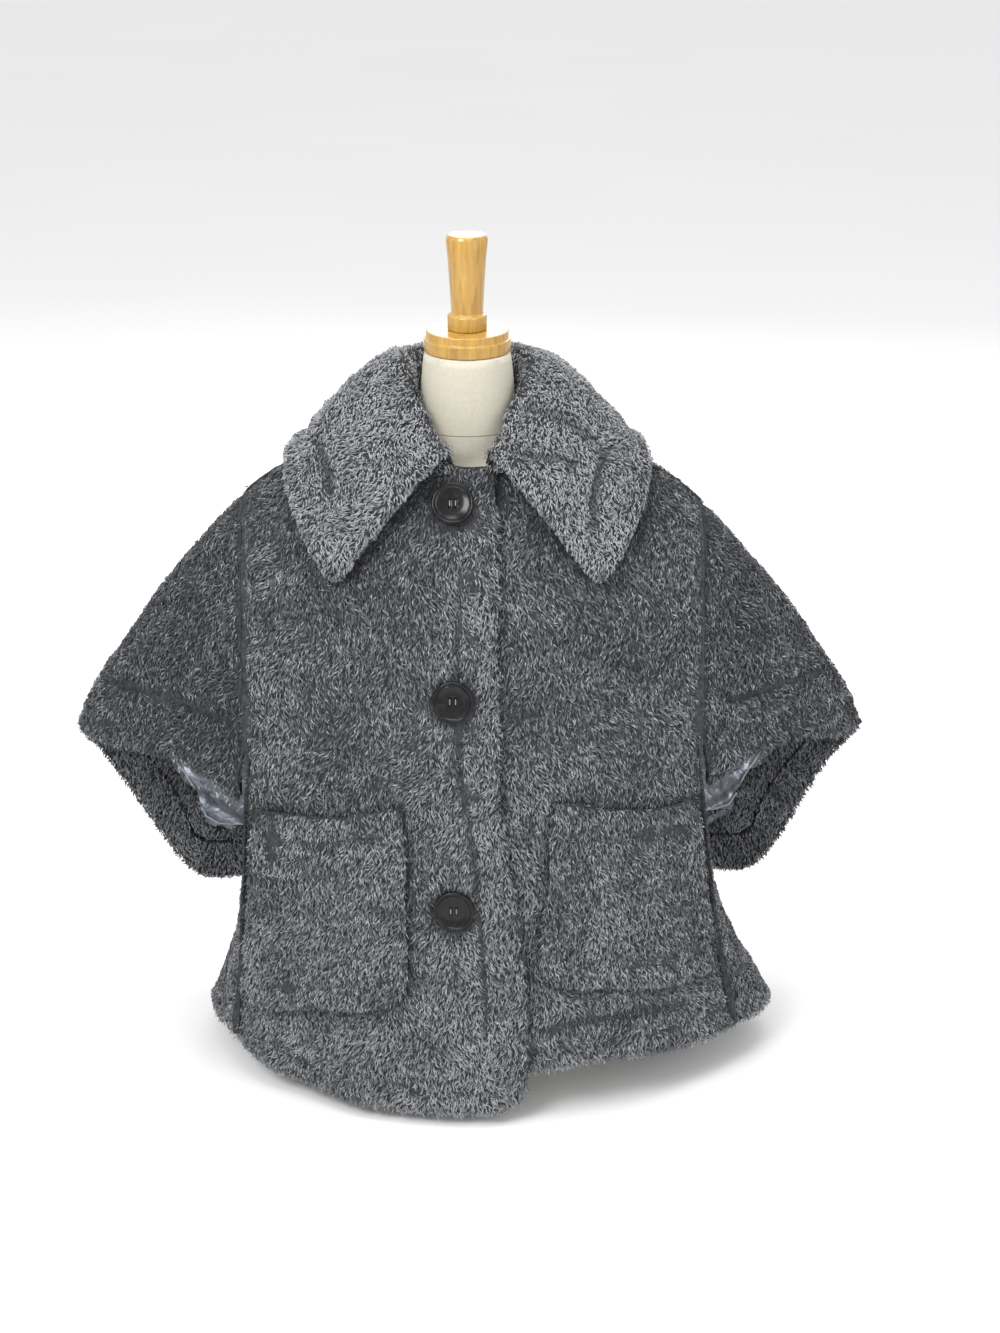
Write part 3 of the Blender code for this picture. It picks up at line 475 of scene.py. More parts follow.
# mesh helpers


def lattice_noise(points: np.ndarray, size: float, seed: int) -> np.ndarray:
    """Smooth noise between -1 and 1.

    Args:
        points: Points, one a row, in metres.
        size: Distance between lattice points in metres.
        seed: Picks one of many patterns.

    Returns:
        One value a point.
    """
    cell = points / size + 512.0
    low = np.floor(cell).astype(np.int64)
    part = cell - low
    ease = part * part * (3 - 2 * part)
    total = np.zeros(len(points))
    for corner in range(8):
        step = np.array([corner & 1, corner >> 1 & 1, corner >> 2 & 1])
        at = low + step
        key = at[:, 0] * 73856093 ^ at[:, 1] * 19349663 ^ at[:, 2] * 83492791 ^ seed * 2654435761
        key = (key ^ (key >> 15)) * 2246822519
        key = (key ^ (key >> 13)) & 0x7FFFFFFF
        total += (key / 0x3FFFFFFF - 1) * np.prod(np.where(step, ease, 1 - ease), axis=1)
    return total


def unit(rows: np.ndarray) -> np.ndarray:
    """Rows scaled to length one."""
    return rows / np.maximum(np.linalg.norm(rows, axis=1, keepdims=True), 1e-12)


def bell(away: np.ndarray, width: float) -> np.ndarray:
    """A soft hump: 1 where away is 0, and gone within about two widths."""
    return np.exp(-((away / width) ** 2))


def corner_sum(faces: np.ndarray, values: np.ndarray, count: int) -> np.ndarray:
    """Add each face's value to its four corners.

    Args:
        faces: Corner numbers, four a row.
        values: One value or vector a face.
        count: How many points there are.

    Returns:
        The sum at each point.
    """
    total = np.zeros((count, *values.shape[1:]))
    for corner in faces.T:
        np.add.at(total, corner, values)
    return total


def point_tree(spots: np.ndarray) -> KDTree:
    """Search tree over points, one a row."""
    tree = KDTree(len(spots))
    for i, spot in enumerate(spots):
        tree.insert(spot, i)
    tree.balance()
    return tree


def closed_line(edge: np.ndarray, stations: int = 96, inset: float = 0.0012) -> np.ndarray:
    """The closed line through scattered points, drawn in a little towards its hollow.

    Args:
        edge: Points about the line, one a row.
        stations: How many points the line has.
        inset: How far it is drawn in.

    Returns:
        Points round the line, one a row.
    """
    middle = edge.mean(axis=0)
    plane = np.linalg.svd(edge - middle, full_matrices=False)[2]
    turn = np.arctan2((edge - middle) @ plane[1], (edge - middle) @ plane[0])
    line = []
    for mark in np.linspace(-math.pi, math.pi, stations, endpoint=False):
        gap = np.abs(np.angle(np.exp(1j * (turn - mark))))
        weight = bell(gap, max(0.06, 1.5 * gap.min()))
        spot = (edge * weight[:, None]).sum(axis=0) / weight.sum()
        line.append(spot + (middle - spot) / np.linalg.norm(middle - spot) * inset)
    return np.array(line)


@dataclass(frozen=True)
class Crease:
    """A soft trough along a given line; a negative depth makes a ridge. Millimetres throughout."""

    line: tuple[tuple[float, float, float], ...]
    width: float
    depth: float
    # share by which the pile parts in the trough: shorter locks and painted shade
    part: float = 0.6
    lift_limit: ClassVar[float] = 0.012
    fade_share: ClassVar[float] = 0.12

    def reach(self, points: np.ndarray, normals: np.ndarray) -> np.ndarray:
        """How strongly the crease is felt at each point, from 0 to 1.

        Args:
            points: Points, one a row, in metres.
            normals: Their normals; only the way along the surface counts.

        Returns:
            One value a point, faded at the line's ends.
        """
        line = np.array(self.line) * MM
        width = self.width * MM
        room = 3 * width + 0.008
        strength = np.zeros(len(points))
        inside = np.all((points > line.min(axis=0) - room) & (points < line.max(axis=0) + room), axis=1)
        chosen, upward = points[inside], normals[inside]
        if not len(chosen):
            return strength
        steps = np.linalg.norm(np.diff(line, axis=0), axis=1)
        starts = np.concatenate([[0.0], np.cumsum(steps)])
        best = np.full(len(chosen), 1e9)
        along = np.zeros(len(chosen))
        for k, (a, b) in enumerate(zip(line, line[1:])):
            t = np.clip(((chosen - a) @ (b - a)) / max(steps[k] ** 2, 1e-12), 0, 1)
            gap = chosen - (a + t[:, None] * (b - a))
            lift = np.einsum("ij,ij->i", gap, upward)
            away = np.linalg.norm(gap - upward * lift[:, None], axis=1)
            away += 10 * (np.abs(lift) > self.lift_limit)
            closer = away < best
            best[closer] = away[closer]
            along[closer] = (starts[k] + t * steps[k])[closer] / starts[-1]
        fade = np.clip(np.minimum(along, 1 - along) / self.fade_share, 0.15, 1)
        strength[inside] = bell(best, width) * fade
        return strength


def crease_sum(
    points: np.ndarray, normals: np.ndarray, creases: Iterable[Crease]
) -> tuple[np.ndarray, np.ndarray]:
    """Depth and parting of all creases together.

    Args:
        points: Points, one a row, in metres.
        normals: Their normals.
        creases: The creases.

    Returns:
        Depth in metres and parting from 0 to 1, one value a point.
    """
    depth = np.zeros(len(points))
    parted = np.zeros(len(points))
    for crease in creases:
        strength = crease.reach(points, normals)
        depth += strength * crease.depth * MM
        parted = np.maximum(parted, strength * crease.part)
    return depth, parted


def deselect_all() -> None:
    """Leave no object selected."""
    bpy.ops.object.select_all(action="DESELECT")


def make_active(piece: bpy.types.Object) -> None:
    """Select one object alone and make it active."""
    deselect_all()
    piece.select_set(True)
    bpy.context.view_layer.objects.active = piece


def finish_modifiers(piece: bpy.types.Object) -> None:
    """Apply all modifiers of an object, in order."""
    make_active(piece)
    for modifier in list(piece.modifiers):
        bpy.ops.object.modifier_apply(modifier=modifier.name)


def bevel_edges(piece: bpy.types.Object, width: float, segments: int, corner: float = 30) -> None:
    """Round an object's edges and apply all its modifiers.

    Args:
        piece: The object.
        width: Width of the rounding in metres.
        segments: Its steps.
        corner: Edges that turn more than this, in degrees, are rounded.
    """
    bevel = piece.modifiers.new("edge", "BEVEL")
    bevel.width = width
    bevel.segments = segments
    bevel.limit_method = "ANGLE"
    bevel.angle_limit = math.radians(corner)
    finish_modifiers(piece)


def cylinder(
    name: str, sides: int, radius: float, depth: float, spot: tuple[float, float, float] = (0, 0, 0)
) -> bpy.types.Object:
    """Add an upright cylinder.

    Args:
        name: Its name.
        sides: Its sides.
        radius: Its radius.
        depth: Its height.
        spot: Its middle.

    Returns:
        The cylinder, active.
    """
    deselect_all()
    bpy.ops.mesh.primitive_cylinder_add(vertices=sides, radius=radius, depth=depth, location=spot)
    piece = bpy.context.active_object
    piece.name = name
    return piece


def extrude_up(rise: float, widen: float = 1.0) -> None:
    """Extrude the selected faces upwards and scale them across.

    Args:
        rise: How far, in metres.
        widen: Scale of the new faces.
    """
    bpy.ops.mesh.extrude_region_move(TRANSFORM_OT_translate={"value": (0, 0, rise)})
    if widen != 1.0:
        bpy.ops.transform.resize(value=(widen, widen, 1))


def refined(
    name: str, source: bpy.types.Object, fold: float, corner: float, crease: float, levels: int
) -> bpy.types.Object:
    """Copy a CAD node, join its triangles to quads and subdivide it with its corners kept.

    Args:
        name: The copy's name.
        source: The CAD node.
        fold: Triangles that turn less than this, in degrees, may be joined.
        corner: Edges that turn more than this, in degrees, are kept crisp.
        crease: How crisp they are, up to 1.
        levels: Steps of subdivision.

    Returns:
        The refined copy, linked to the scene.
    """
    shape = bmesh.new()
    shape.from_mesh(source.data)
    bmesh.ops.remove_doubles(shape, verts=shape.verts, dist=MERGE_DISTANCE)
    bmesh.ops.join_triangles(
        shape, faces=shape.faces, angle_face_threshold=math.radians(fold),
        angle_shape_threshold=math.radians(fold + 15))
    crisp = shape.edges.layers.float.new("crease_edge")
    for edge in shape.edges:
        if len(edge.link_faces) == 2 and edge.calc_face_angle(0.0) > math.radians(corner):
            edge[crisp] = crease
    mesh = bpy.data.meshes.new(name)
    shape.to_mesh(mesh)
    shape.free()
    piece = bpy.data.objects.new(name, mesh)
    bpy.context.scene.collection.objects.link(piece)
    finer = piece.modifiers.new("finer", "SUBSURF")
    finer.levels = finer.render_levels = levels
    finish_modifiers(piece)
    return piece


def declare(
    piece: bpy.types.Object, material: bpy.types.Material, node: str | None = None
) -> None:
    """Args:
        piece: The finished piece.
        material: Its material.
        node: The CAD node that it replaces, if any.
    """
    piece.data.materials.clear()
    piece.data.materials.append(material)
    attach(piece, BODY)
    if node is not None:
        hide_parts(node)
    LOG.info("%s: %d faces", piece.name, len(piece.data.polygons))


def settle(piece: bpy.types.Object, frame: Matrix) -> None:
    """Move a finished piece into place in its mesh.

    Args:
        piece: The piece, modelled round the origin.
        frame: Where it goes.
    """
    piece.data.transform(frame @ piece.matrix_world)
    piece.matrix_world = Matrix.Identity(4)


@contextmanager
def edit_faces(piece: bpy.types.Object, keep: Callable[[Vector, Vector], bool]) -> Iterator[None]:
    """Edit mode with some faces selected.

    Args:
        piece: The object to edit.
        keep: Tells from a face's middle and normal whether it is selected.

    Yields:
        Nothing; operators run inside.
    """
    make_active(piece)
    bpy.ops.object.mode_set(mode="EDIT")
    bpy.ops.mesh.select_mode(type="FACE")
    bpy.ops.mesh.select_all(action="DESELECT")
    shape = bmesh.from_edit_mesh(piece.data)
    for face in shape.faces:
        face.select_set(keep(face.calc_center_median(), face.normal))
    shape.select_flush_mode()
    bmesh.update_edit_mesh(piece.data)
    yield
    bpy.ops.object.mode_set(mode="OBJECT")


def new_piece(name: str, vertices: np.ndarray, faces: np.ndarray) -> bpy.types.Object:
    """Make an object from arrays.

    Args:
        name: Its name.
        vertices: Points, one a row.
        faces: Quads, one a row.

    Returns:
        The new object, linked to the scene.
    """
    mesh = bpy.data.meshes.new(name)
    mesh.vertices.add(len(vertices))
    mesh.vertices.foreach_set("co", vertices.astype(np.float32).ravel())
    mesh.loops.add(faces.size)
    mesh.loops.foreach_set("vertex_index", faces.astype(np.int32).ravel())
    mesh.polygons.add(len(faces))
    mesh.polygons.foreach_set("loop_start", np.arange(0, faces.size, 4, dtype=np.int32))
    mesh.update(calc_edges=True)
    mesh.validate()
    piece = bpy.data.objects.new(name, mesh)
    bpy.context.scene.collection.objects.link(piece)
    return piece


class Surroundings:
    """The CAD solids as one set of triangles that knows which node each belongs to."""

    def __init__(self, nodes: dict[str, bpy.types.Object]) -> None:
        """Gather the triangles of all nodes.

        Args:
            nodes: The frame's nodes by name.
        """
        self.trees: dict[str, BVHTree] = {}
        for name, node in nodes.items():
            mesh = node.data
            self.trees[name] = BVHTree.FromPolygons(
                [v.co[:] for v in mesh.vertices], [tuple(p.vertices) for p in mesh.polygons]
            )

    def others(self, own: str, box: tuple[Vector, Vector], room: float) -> list[BVHTree]:
        """Trees of the nodes whose boxes come near another's.

        Args:
            own: The node that is left out.
            box: Its lowest and highest corner.
            room: How near counts.

        Returns:
            Their trees.
        """
        near = []
        for name, tree in self.trees.items():
            low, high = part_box(name)
            apart = any(low[k] > box[1][k] + room or high[k] < box[0][k] - room for k in range(3))
            if name != own and not apart:
                near.append(tree)
        return near


# cloth


@dataclass(frozen=True)
class Cut:
    """How a cloth piece was cut and how it hangs."""

    width: float
    length: float
    area: float
    held: str
    rests_on: tuple[str, ...]


@dataclass(frozen=True)
class NeckLift:
    """The fluffy top edge of a front, pulled up and in to the form's neck."""

    half: float = 0.064
    low: float = 0.666
    high: float = 0.702
    rise: tuple[float, float, float] = (0.0, 0.009, 0.010)

    def moves(self, points: np.ndarray) -> np.ndarray:
        """How far each point moves.

        Args:
            points: Points, one a row.

        Returns:
            One vector a point.
        """
        height = np.clip((points[:, 2] - self.low) / (self.high - self.low), 0, 1)
        across = np.clip((self.half - np.abs(points[:, 0])) / 0.024, 0, 1)
        share = height * height * (3 - 2 * height) * across * across * (3 - 2 * across)
        return share[:, None] * np.array(self.rise)


@dataclass
class ClothShell:
    """A cloth piece: its CAD node's form as a finer thin shell, drawn in by the depth of its pile."""

    node: str
    slot: str
    cut: Cut
    out: Out
    wall: float
    nap: float = 0.003
    seam_dip: float = 0.0030
    # parting of the pile along the seams: shorter locks and painted shade
    seam_part: float = 0.5
    lumps: float = 0.0012
    roll: float = 0.0014
    inner_nap: float | None = None
    lift: NeckLift | None = None
    levels: int = 2
    creases: tuple[Crease, ...] = ()
    seed: int = 1
    band: float = 0.0
    tip_radius: float = 0.0
    through: ClassVar[float] = 1.35  # walls from a main face to the other side, at most
    rim_reach: ClassVar[float] = 0.7  # walls from a crisp rim within which a rim face is hard
    small_part: ClassVar[float] = 0.2  # share of the largest region below which one is good cloth
    turned_out: ClassVar[float] = 0.15  # how far a plain face must look outward to be seen
    clear_view: ClassVar[float] = 0.08  # metres that must be free before such a face
    neck_reach: ClassVar[float] = 0.095  # metres from the neck's axis within which inner_nap holds
    tip_reach: ClassVar[float] = 0.05  # metres about a tip that may be rounded
    tip_give: ClassVar[float] = 0.12  # share by which a tip still stands out

    def build(self, source: bpy.types.Object, mouth: BVHTree | None = None) -> bpy.types.Object:
        """Refine the node's form and shape its surface.

        Args:
            source: The CAD node.
            mouth: Tree of the turned-up hem at a lining's mouth, if the shell is a lining.

        Returns:
            The finished shell.
        """
        piece = refined(self.node + "_cloth", source, 35, 68, 1.0, self.levels)
        self._read(piece)
        self._sort_faces()
        self._shape()
        if mouth is not None:
            for i, middle in enumerate(self.middles):
                if mouth.find_nearest(Vector(middle), self.band)[0] is None:
                    self.kinds[i] = Face.PLAIN.value
        piece.data.vertices.foreach_set("co", self.points.astype(np.float32).ravel())
        piece.data.shade_smooth()
        self._sharpen_rims(piece)
        piece.data.update()
        return piece

    def _read(self, piece: bpy.types.Object) -> None:
        """Read the refined mesh into arrays.

        Args:
            piece: The refined copy.
        """
        mesh = piece.data
        self.points = np.zeros(len(mesh.vertices) * 3)
        mesh.vertices.foreach_get("co", self.points)
        self.points = self.points.reshape(-1, 3)
        self.faces = np.array([tuple(p.vertices) for p in mesh.polygons])
        count = len(mesh.polygons)
        self.normals = np.zeros(count * 3)
        self.areas = np.zeros(count)
        mesh.polygons.foreach_get("normal", self.normals)
        mesh.polygons.foreach_get("area", self.areas)
        self.normals = self.normals.reshape(-1, 3)
        self.middles = self.points[self.faces].mean(axis=1)
        crisp = mesh.attributes.get("crease_edge")
        marks = np.zeros(len(mesh.edges))
        crisp.data.foreach_get("value", marks)
        ends = np.array([tuple(e.vertices) for e in mesh.edges])
        self.rims = ends[marks > 0.5]

    def _sort_faces(self) -> None:
        """Tell the good side, the plain side and the rims apart."""
        tree = BVHTree.FromPolygons(self.points.tolist(), self.faces.tolist())
        main = np.zeros(len(self.faces), bool)
        for i, (middle, normal) in enumerate(zip(self.middles, self.normals)):
            inward = -Vector(normal)
            hit = tree.ray_cast(Vector(middle) + inward * 1e-4, inward, self.through * self.wall)
            main[i] = hit[0] is not None
        self.seam_tree = self._rim_tree()
        self.kinds = np.full(len(self.faces), Face.SOFT_RIM.value)
        if self.seam_tree is not None:
            for i in np.nonzero(~main)[0]:
                if self.seam_tree.find(self.middles[i])[2] < self.rim_reach * self.wall:
                    self.kinds[i] = Face.HARD_RIM.value
        group = self._flood(main)
        scores = np.einsum("ij,ij->i", self.normals, self._outward()) * self.areas
        sizes = np.bincount(group[group >= 0], weights=self.areas[group >= 0])
        for mark, size in enumerate(sizes):
            members = group == mark
            small = size < self.small_part * sizes.max()
            good = self.out is Out.BOTH or small or scores[members].sum() > 0
            self.kinds[members] = Face.PILE.value if good else Face.PLAIN.value
        if self.out is Out.FROM_BODY:
            reach = np.linalg.norm(self.middles[:, :2], axis=1) * self.areas
            outward = scores > self.turned_out * reach
            for i in np.nonzero((self.kinds == Face.PLAIN.value) & outward)[0]:
                way = Vector(self.normals[i])
                if tree.ray_cast(Vector(self.middles[i]) + way * 1e-3, way, self.clear_view)[0] is None:
                    self.kinds[i] = Face.PILE.value

    def _rim_tree(self) -> KDTree | None:
        """Points along the crisp rims, or None where there are none."""
        if not len(self.rims):
            return None
        ends = self.points[self.rims]
        shares = (0.0, 0.25, 0.5, 0.75, 1.0)
        return point_tree(np.concatenate([ends[:, 0] * (1 - t) + ends[:, 1] * t for t in shares]))

    def _outward(self) -> np.ndarray:
        """Direction in which the good side looks, for each face."""
        if self.out is Out.FROM_BODY:
            return self.middles * (1, 1, 0)
        away = self.middles - np.average(self.middles, axis=0, weights=self.areas)
        return -away if self.out is Out.TO_OWN else away

    def _flood(self, main: np.ndarray) -> np.ndarray:
        """Number the connected regions of the main faces.

        Args:
            main: Which faces are main ones.

        Returns:
            A region number for each face, -1 for the rims.
        """
        by_edge: dict[tuple[int, int], list[int]] = {}
        for i in np.nonzero(main)[0]:
            corners = self.faces[i]
            for a, b in zip(corners, np.roll(corners, -1)):
                by_edge.setdefault((min(a, b), max(a, b)), []).append(int(i))
        crisp = {(min(a, b), max(a, b)) for a, b in self.rims.tolist()}
        links: dict[int, list[int]] = {}
        for key, pair in by_edge.items():
            if len(pair) == 2 and key not in crisp:
                links.setdefault(pair[0], []).append(pair[1])
                links.setdefault(pair[1], []).append(pair[0])
        group = np.full(len(self.faces), -1)
        mark = 0
        for start in np.nonzero(main)[0]:
            if group[start] >= 0:
                continue
            stack = [int(start)]
            group[start] = mark
            while stack:
                for near in links.get(stack.pop(), ()):
                    if group[near] < 0:
                        group[near] = mark
                        stack.append(near)
            mark += 1
        return group

    def soft(self) -> np.ndarray:
        """Which faces are on the good side or on a soft rim."""
        return (self.kinds == Face.PILE.value) | (self.kinds == Face.SOFT_RIM.value)

    def side_normals(self) -> np.ndarray:
        """Vertex normals of the good side and soft rims alone, as they stand now."""
        corners = self.points[self.faces]
        flat = np.cross(corners[:, 2] - corners[:, 0], corners[:, 3] - corners[:, 1])
        soft = self.soft()
        return unit(corner_sum(self.faces[soft], flat[soft], len(self.points)))

    def _shape(self) -> None:
        """Draw the good side in by the nap and give it seams, creases and lumps."""
        soft = self.soft()
        counted = self.kinds != Face.HARD_RIM.value
        whole = corner_sum(self.faces[counted], self.areas[counted], len(self.points))
        draw = corner_sum(self.faces[soft], self.areas[soft], len(self.points))
        share = np.divide(draw, whole, out=np.zeros_like(draw), where=whole > 0)
        normals = self.side_normals()
        sunk = self.sink(self.points, normals)
        lump = lattice_noise(self.points, 0.010, self.seed) * self.lumps
        lump += lattice_noise(self.points, 0.030, self.seed + 7) * self.lumps * 1.2
        lump += self._edge_roll()
        nap = np.full(len(self.points), self.nap)
        if self.inner_nap is not None:
            inward = -np.einsum("ij,ij->i", normals, unit(self.points * (1, 1, 0)))
            near = np.linalg.norm(self.points[:, :2], axis=1) < self.neck_reach
            nap += np.clip(inward * 2, 0, 1) * near * (self.inner_nap - self.nap)
        self.points = self.points - normals * (share * (nap + sunk[0] - lump))[:, None]
        if self.lift is not None:
            self.points += self.lift.moves(self.points)
        if self.tip_radius > 0:
            for hand in (-1, 1):
                self._round_tip(hand)

    def _round_tip(self, hand: int) -> None:
        """Round the lowest tip on one hand.

        Args:
            hand: -1 for the right of the coat, 1 for its left.
        """
        own = self.points[:, 0] * hand > 0.03
        tip = self.points[np.nonzero(own)[0][np.argmin(self.points[own, 2])]]
        near = own & (np.linalg.norm(self.points - tip, axis=1) < self.tip_reach)
        inward = unit(self.points[near].mean(axis=0, keepdims=True) - tip)[0]
        middle = tip + inward * self.tip_radius * 1.35
        gap = self.points - middle
        far = np.linalg.norm(gap, axis=1)
        beyond = near & (gap @ inward < 0) & (far > self.tip_radius)
        share = (self.tip_radius + self.tip_give * (far[beyond] - self.tip_radius)) / far[beyond]
        self.points[beyond] = middle + gap[beyond] * share[:, None]

    def band_edge(self) -> np.ndarray:
        """Points where the turned-up strip meets the plain lining."""
        strip = np.unique(self.faces[self.kinds == Face.PILE.value])
        plain = np.unique(self.faces[self.kinds == Face.PLAIN.value])
        return self.points[np.intersect1d(strip, plain)]

    def _edge_roll(self) -> np.ndarray:
        """How far the cloth swells along its free edges, where its pile rolls over."""
        free = self.middles[self.kinds == Face.SOFT_RIM.value]
        if not len(free) or self.roll == 0:
            return np.zeros(len(self.points))
        tree = point_tree(free)
        away = np.array([tree.find(point)[2] for point in self.points])
        return self.roll * (bell(away - 0.009, 0.007) - 0.9 * bell(away - 0.025, 0.006))

    def sink(self, points: np.ndarray, normals: np.ndarray) -> tuple[np.ndarray, np.ndarray]:
        """Depth of seams and creases.

        Args:
            points: Points, one a row.
            normals: Their normals.

        Returns:
            Depth in metres and parting from 0 to 1, one value a point.
        """
        depth, parted = crease_sum(points, normals, self.creases)
        if self.seam_tree is not None and self.seam_dip > 0:
            away = np.array([self.seam_tree.find(p)[2] for p in points])
            depth += bell(away, SEAM_WIDTH) * self.seam_dip
            parted = np.maximum(parted, bell(away, SEAM_PART_WIDTH) * self.seam_part)
        return depth, parted

    def _sharpen_rims(self, piece: bpy.types.Object) -> None:
        """Keep the seam rims crisp when the shell is shaded smooth.

        Args:
            piece: The shell.
        """
        crisp = {(min(a, b), max(a, b)) for a, b in self.rims.tolist()}
        marks = [tuple(sorted(e.vertices)) in crisp for e in piece.data.edges]
        piece.data.edges.foreach_set("use_edge_sharp", marks)

    def dress(
        self, piece: bpy.types.Object, good: bpy.types.Material, plain: bpy.types.Material,
        with_pieces: list[bpy.types.Object],
    ) -> None:
        """Args:
            piece: The shell.
            good: Material of its good side and rims.
            plain: Material of its other side.
            with_pieces: Pieces that go with it; not used.
        """
        piece.data.materials.clear()
        piece.data.materials.append(good)
        piece.data.materials.append(plain)
        plain_side = self.kinds == Face.PLAIN.value
        if self.seam_tree is not None and self.band == 0:
            away = np.array([self.seam_tree.find(middle)[2] for middle in self.middles])
            plain_side &= away >= SEAM_ALLOWANCE
        piece.data.polygons.foreach_set("material_index", plain_side.astype(np.int32))
        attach(piece, BODY)
        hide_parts(self.node)


@dataclass(frozen=True)
class Pile:
    """Locks of pile grown on a shell, each a small bent leaf of two triangles."""

    density: float = 0.192e6
    length: float = 0.0073
    width: float = 0.00148
    height: float = 0.0032
    swirl: float = 0.75
    jitter: float = 0.38
    tone: float = 0.0
    rim_length: float = 0.75
    # share of light that locks on soft rims keep under painted shade
    rim_unshaded: float = 1.0
    cover: float = 0.009
    # strength of the painted shade where other solids crowd the cloth
    contact_shade: float = 0.62
    # painted light: strength of a lighter band down the front of the coat
    front_painted_light: float = 0.0
    most: int = 92000
    quick_share: ClassVar[float] = 0.25
    ray_start: ClassVar[float] = 3e-4  # metres above the cloth from which a root looks out
    contact_reach: ClassVar[float] = 0.016  # metres that a root looks
    press_width: ClassVar[float] = 0.003  # metres beyond a button in which the pile is parted
    root_depth: ClassVar[float] = 0.0006  # metres that a lock starts below the cloth
    clump_size: ClassVar[float] = 0.0085
    swirl_size: ClassVar[float] = 0.030
    middle_at: ClassVar[float] = 0.42  # share of a lock's length at which it is widest
    along: ClassVar[tuple[float, ...]] = (0.25, 0.8, 1.0, 0.8)  # green mark of a lock's four corners

    def grow(
        self, shell: ClothShell, near: list[BVHTree], bald: list[tuple[Vector, float]], seed: int
    ) -> list[bpy.types.Object]:
        """Grow the locks of one shell.

        Args:
            shell: The shell, shaped.
            near: Trees of the solids that may lie on it.
            bald: Middles and radii of the spots where no pile shows.
            seed: Seed of the scatter.

        Returns:
            The pile pieces, split so that none is too large.
        """
        rng = np.random.default_rng(seed)
        hidden = self._contact(shell, near)
        spots, normals, rim, shade = self._scatter(shell, hidden, rng)
        keep = np.ones(len(spots), bool)
        close = shade > 0.02
        keep[close] = self._uncovered(spots[close], normals[close], near)
        for middle, radius in bald:
            keep &= np.linalg.norm(spots - np.array(middle), axis=1) > radius
        spots, normals, rim, shade = spots[keep], normals[keep], rim[keep], shade[keep]
        parted = shell.sink(spots + normals * shell.nap, normals)[1]
        # round each button the pile is parted: shorter locks and painted shade
        for middle, radius in bald:
            away = np.linalg.norm(spots - np.array(middle), axis=1) - radius
            parted = np.maximum(parted, 0.7 * bell(away, self.press_width))
        vertices, marks = self._locks(spots, normals, rim, parted, shell, rng)
        # painted shade where other solids hide the view round the root
        marks[..., 2] *= (1 - self.contact_shade * np.clip(shade * 1.6, 0, 1))[:, None]
        return self._pieces(shell.node, spots, vertices, marks)

    def _contact(self, shell: ClothShell, near: list[BVHTree]) -> np.ndarray:
        """How much of the view round each vertex other solids hide, which sets the painted contact shade.

        Args:
            shell: The shell.
            near: Trees of the solids that may hide it.

        Returns:
            A share for each vertex.
        """
        hidden = np.zeros(len(shell.faces))
        turns = [(math.cos(a), math.sin(a)) for a in np.linspace(0, math.tau, 7)[:6]]
        for i in np.nonzero(shell.soft())[0]:
            up = Vector(shell.normals[i])
            start = Vector(shell.middles[i]) + up * self.ray_start
            side = up.orthogonal().normalized()
            other = up.cross(side)
            ways = [up * 0.55 + (side * c + other * s) * 0.835 for c, s in turns] + [up]
            hits = sum(any(tree.ray_cast(start, way, self.contact_reach)[0] for tree in near) for way in ways)
            hidden[i] = hits / len(ways)
        total = corner_sum(shell.faces, hidden, len(shell.points))
        count = corner_sum(shell.faces, np.ones(len(shell.faces)), len(shell.points))
        return total / np.maximum(count, 1)

    def _scatter(
        self, shell: ClothShell, hidden: np.ndarray, rng: np.random.Generator
    ) -> tuple[np.ndarray, np.ndarray, np.ndarray, np.ndarray]:
        """Scatter roots over the shell's good side and soft rims.

        Args:
            shell: The shell.
            hidden: How much of the view round each vertex is hidden.
            rng: Source of the scatter.

        Returns:
            Root points, their normals, whether each is on a rim and how hidden it is.
        """
        chosen = np.nonzero(shell.soft())[0]
        density = self.density * 1.0
        counts = np.floor(shell.areas[chosen] * density + rng.random(len(chosen))).astype(int)
        picked = np.repeat(chosen, counts)
        faces = shell.faces[picked]
        u, v = rng.random((2, len(faces), 1))
        weights = [(1 - u) * (1 - v), u * (1 - v), u * v, (1 - u) * v]
        side = shell.side_normals()
        spots = sum(w * shell.points[faces[:, k]] for k, w in enumerate(weights))
        normals = unit(sum(w * side[faces[:, k]] for k, w in enumerate(weights)))
        shade = sum(w[:, 0] * hidden[faces[:, k]] for k, w in enumerate(weights))
        return spots, normals, shell.kinds[picked] == Face.SOFT_RIM.value, shade

    def _uncovered(self, spots: np.ndarray, normals: np.ndarray, near: list[BVHTree]) -> np.ndarray:
        """Which roots are open to view.

        Args:
            spots: Root points.
            normals: Their normals.
            near: Trees of the solids that may cover them.

        Returns:
            True for each root that nothing lies on.
        """
        keep = np.ones(len(spots), bool)
        tilts = [Vector(t) for t in ((1, 0, 0), (-1, 0, 0), (0, 1, 0), (0, -1, 0), (0, 0, 1), (0, 0, -1))]
        for i, (spot, normal) in enumerate(zip(spots, normals)):
            start, up = Vector(spot), Vector(normal)
            start += up * self.ray_start
            if not any(tree.ray_cast(start, up, self.cover)[0] for tree in near):
                continue
            hidden = True
            for tilt in tilts:
                way = (up + tilt * 0.9).normalized()
                if way.dot(up) < 0.5:
                    continue
                if not any(tree.ray_cast(start, way, self.cover * 1.6)[0] for tree in near):
                    hidden = False
                    break
            keep[i] = not hidden
        return keep

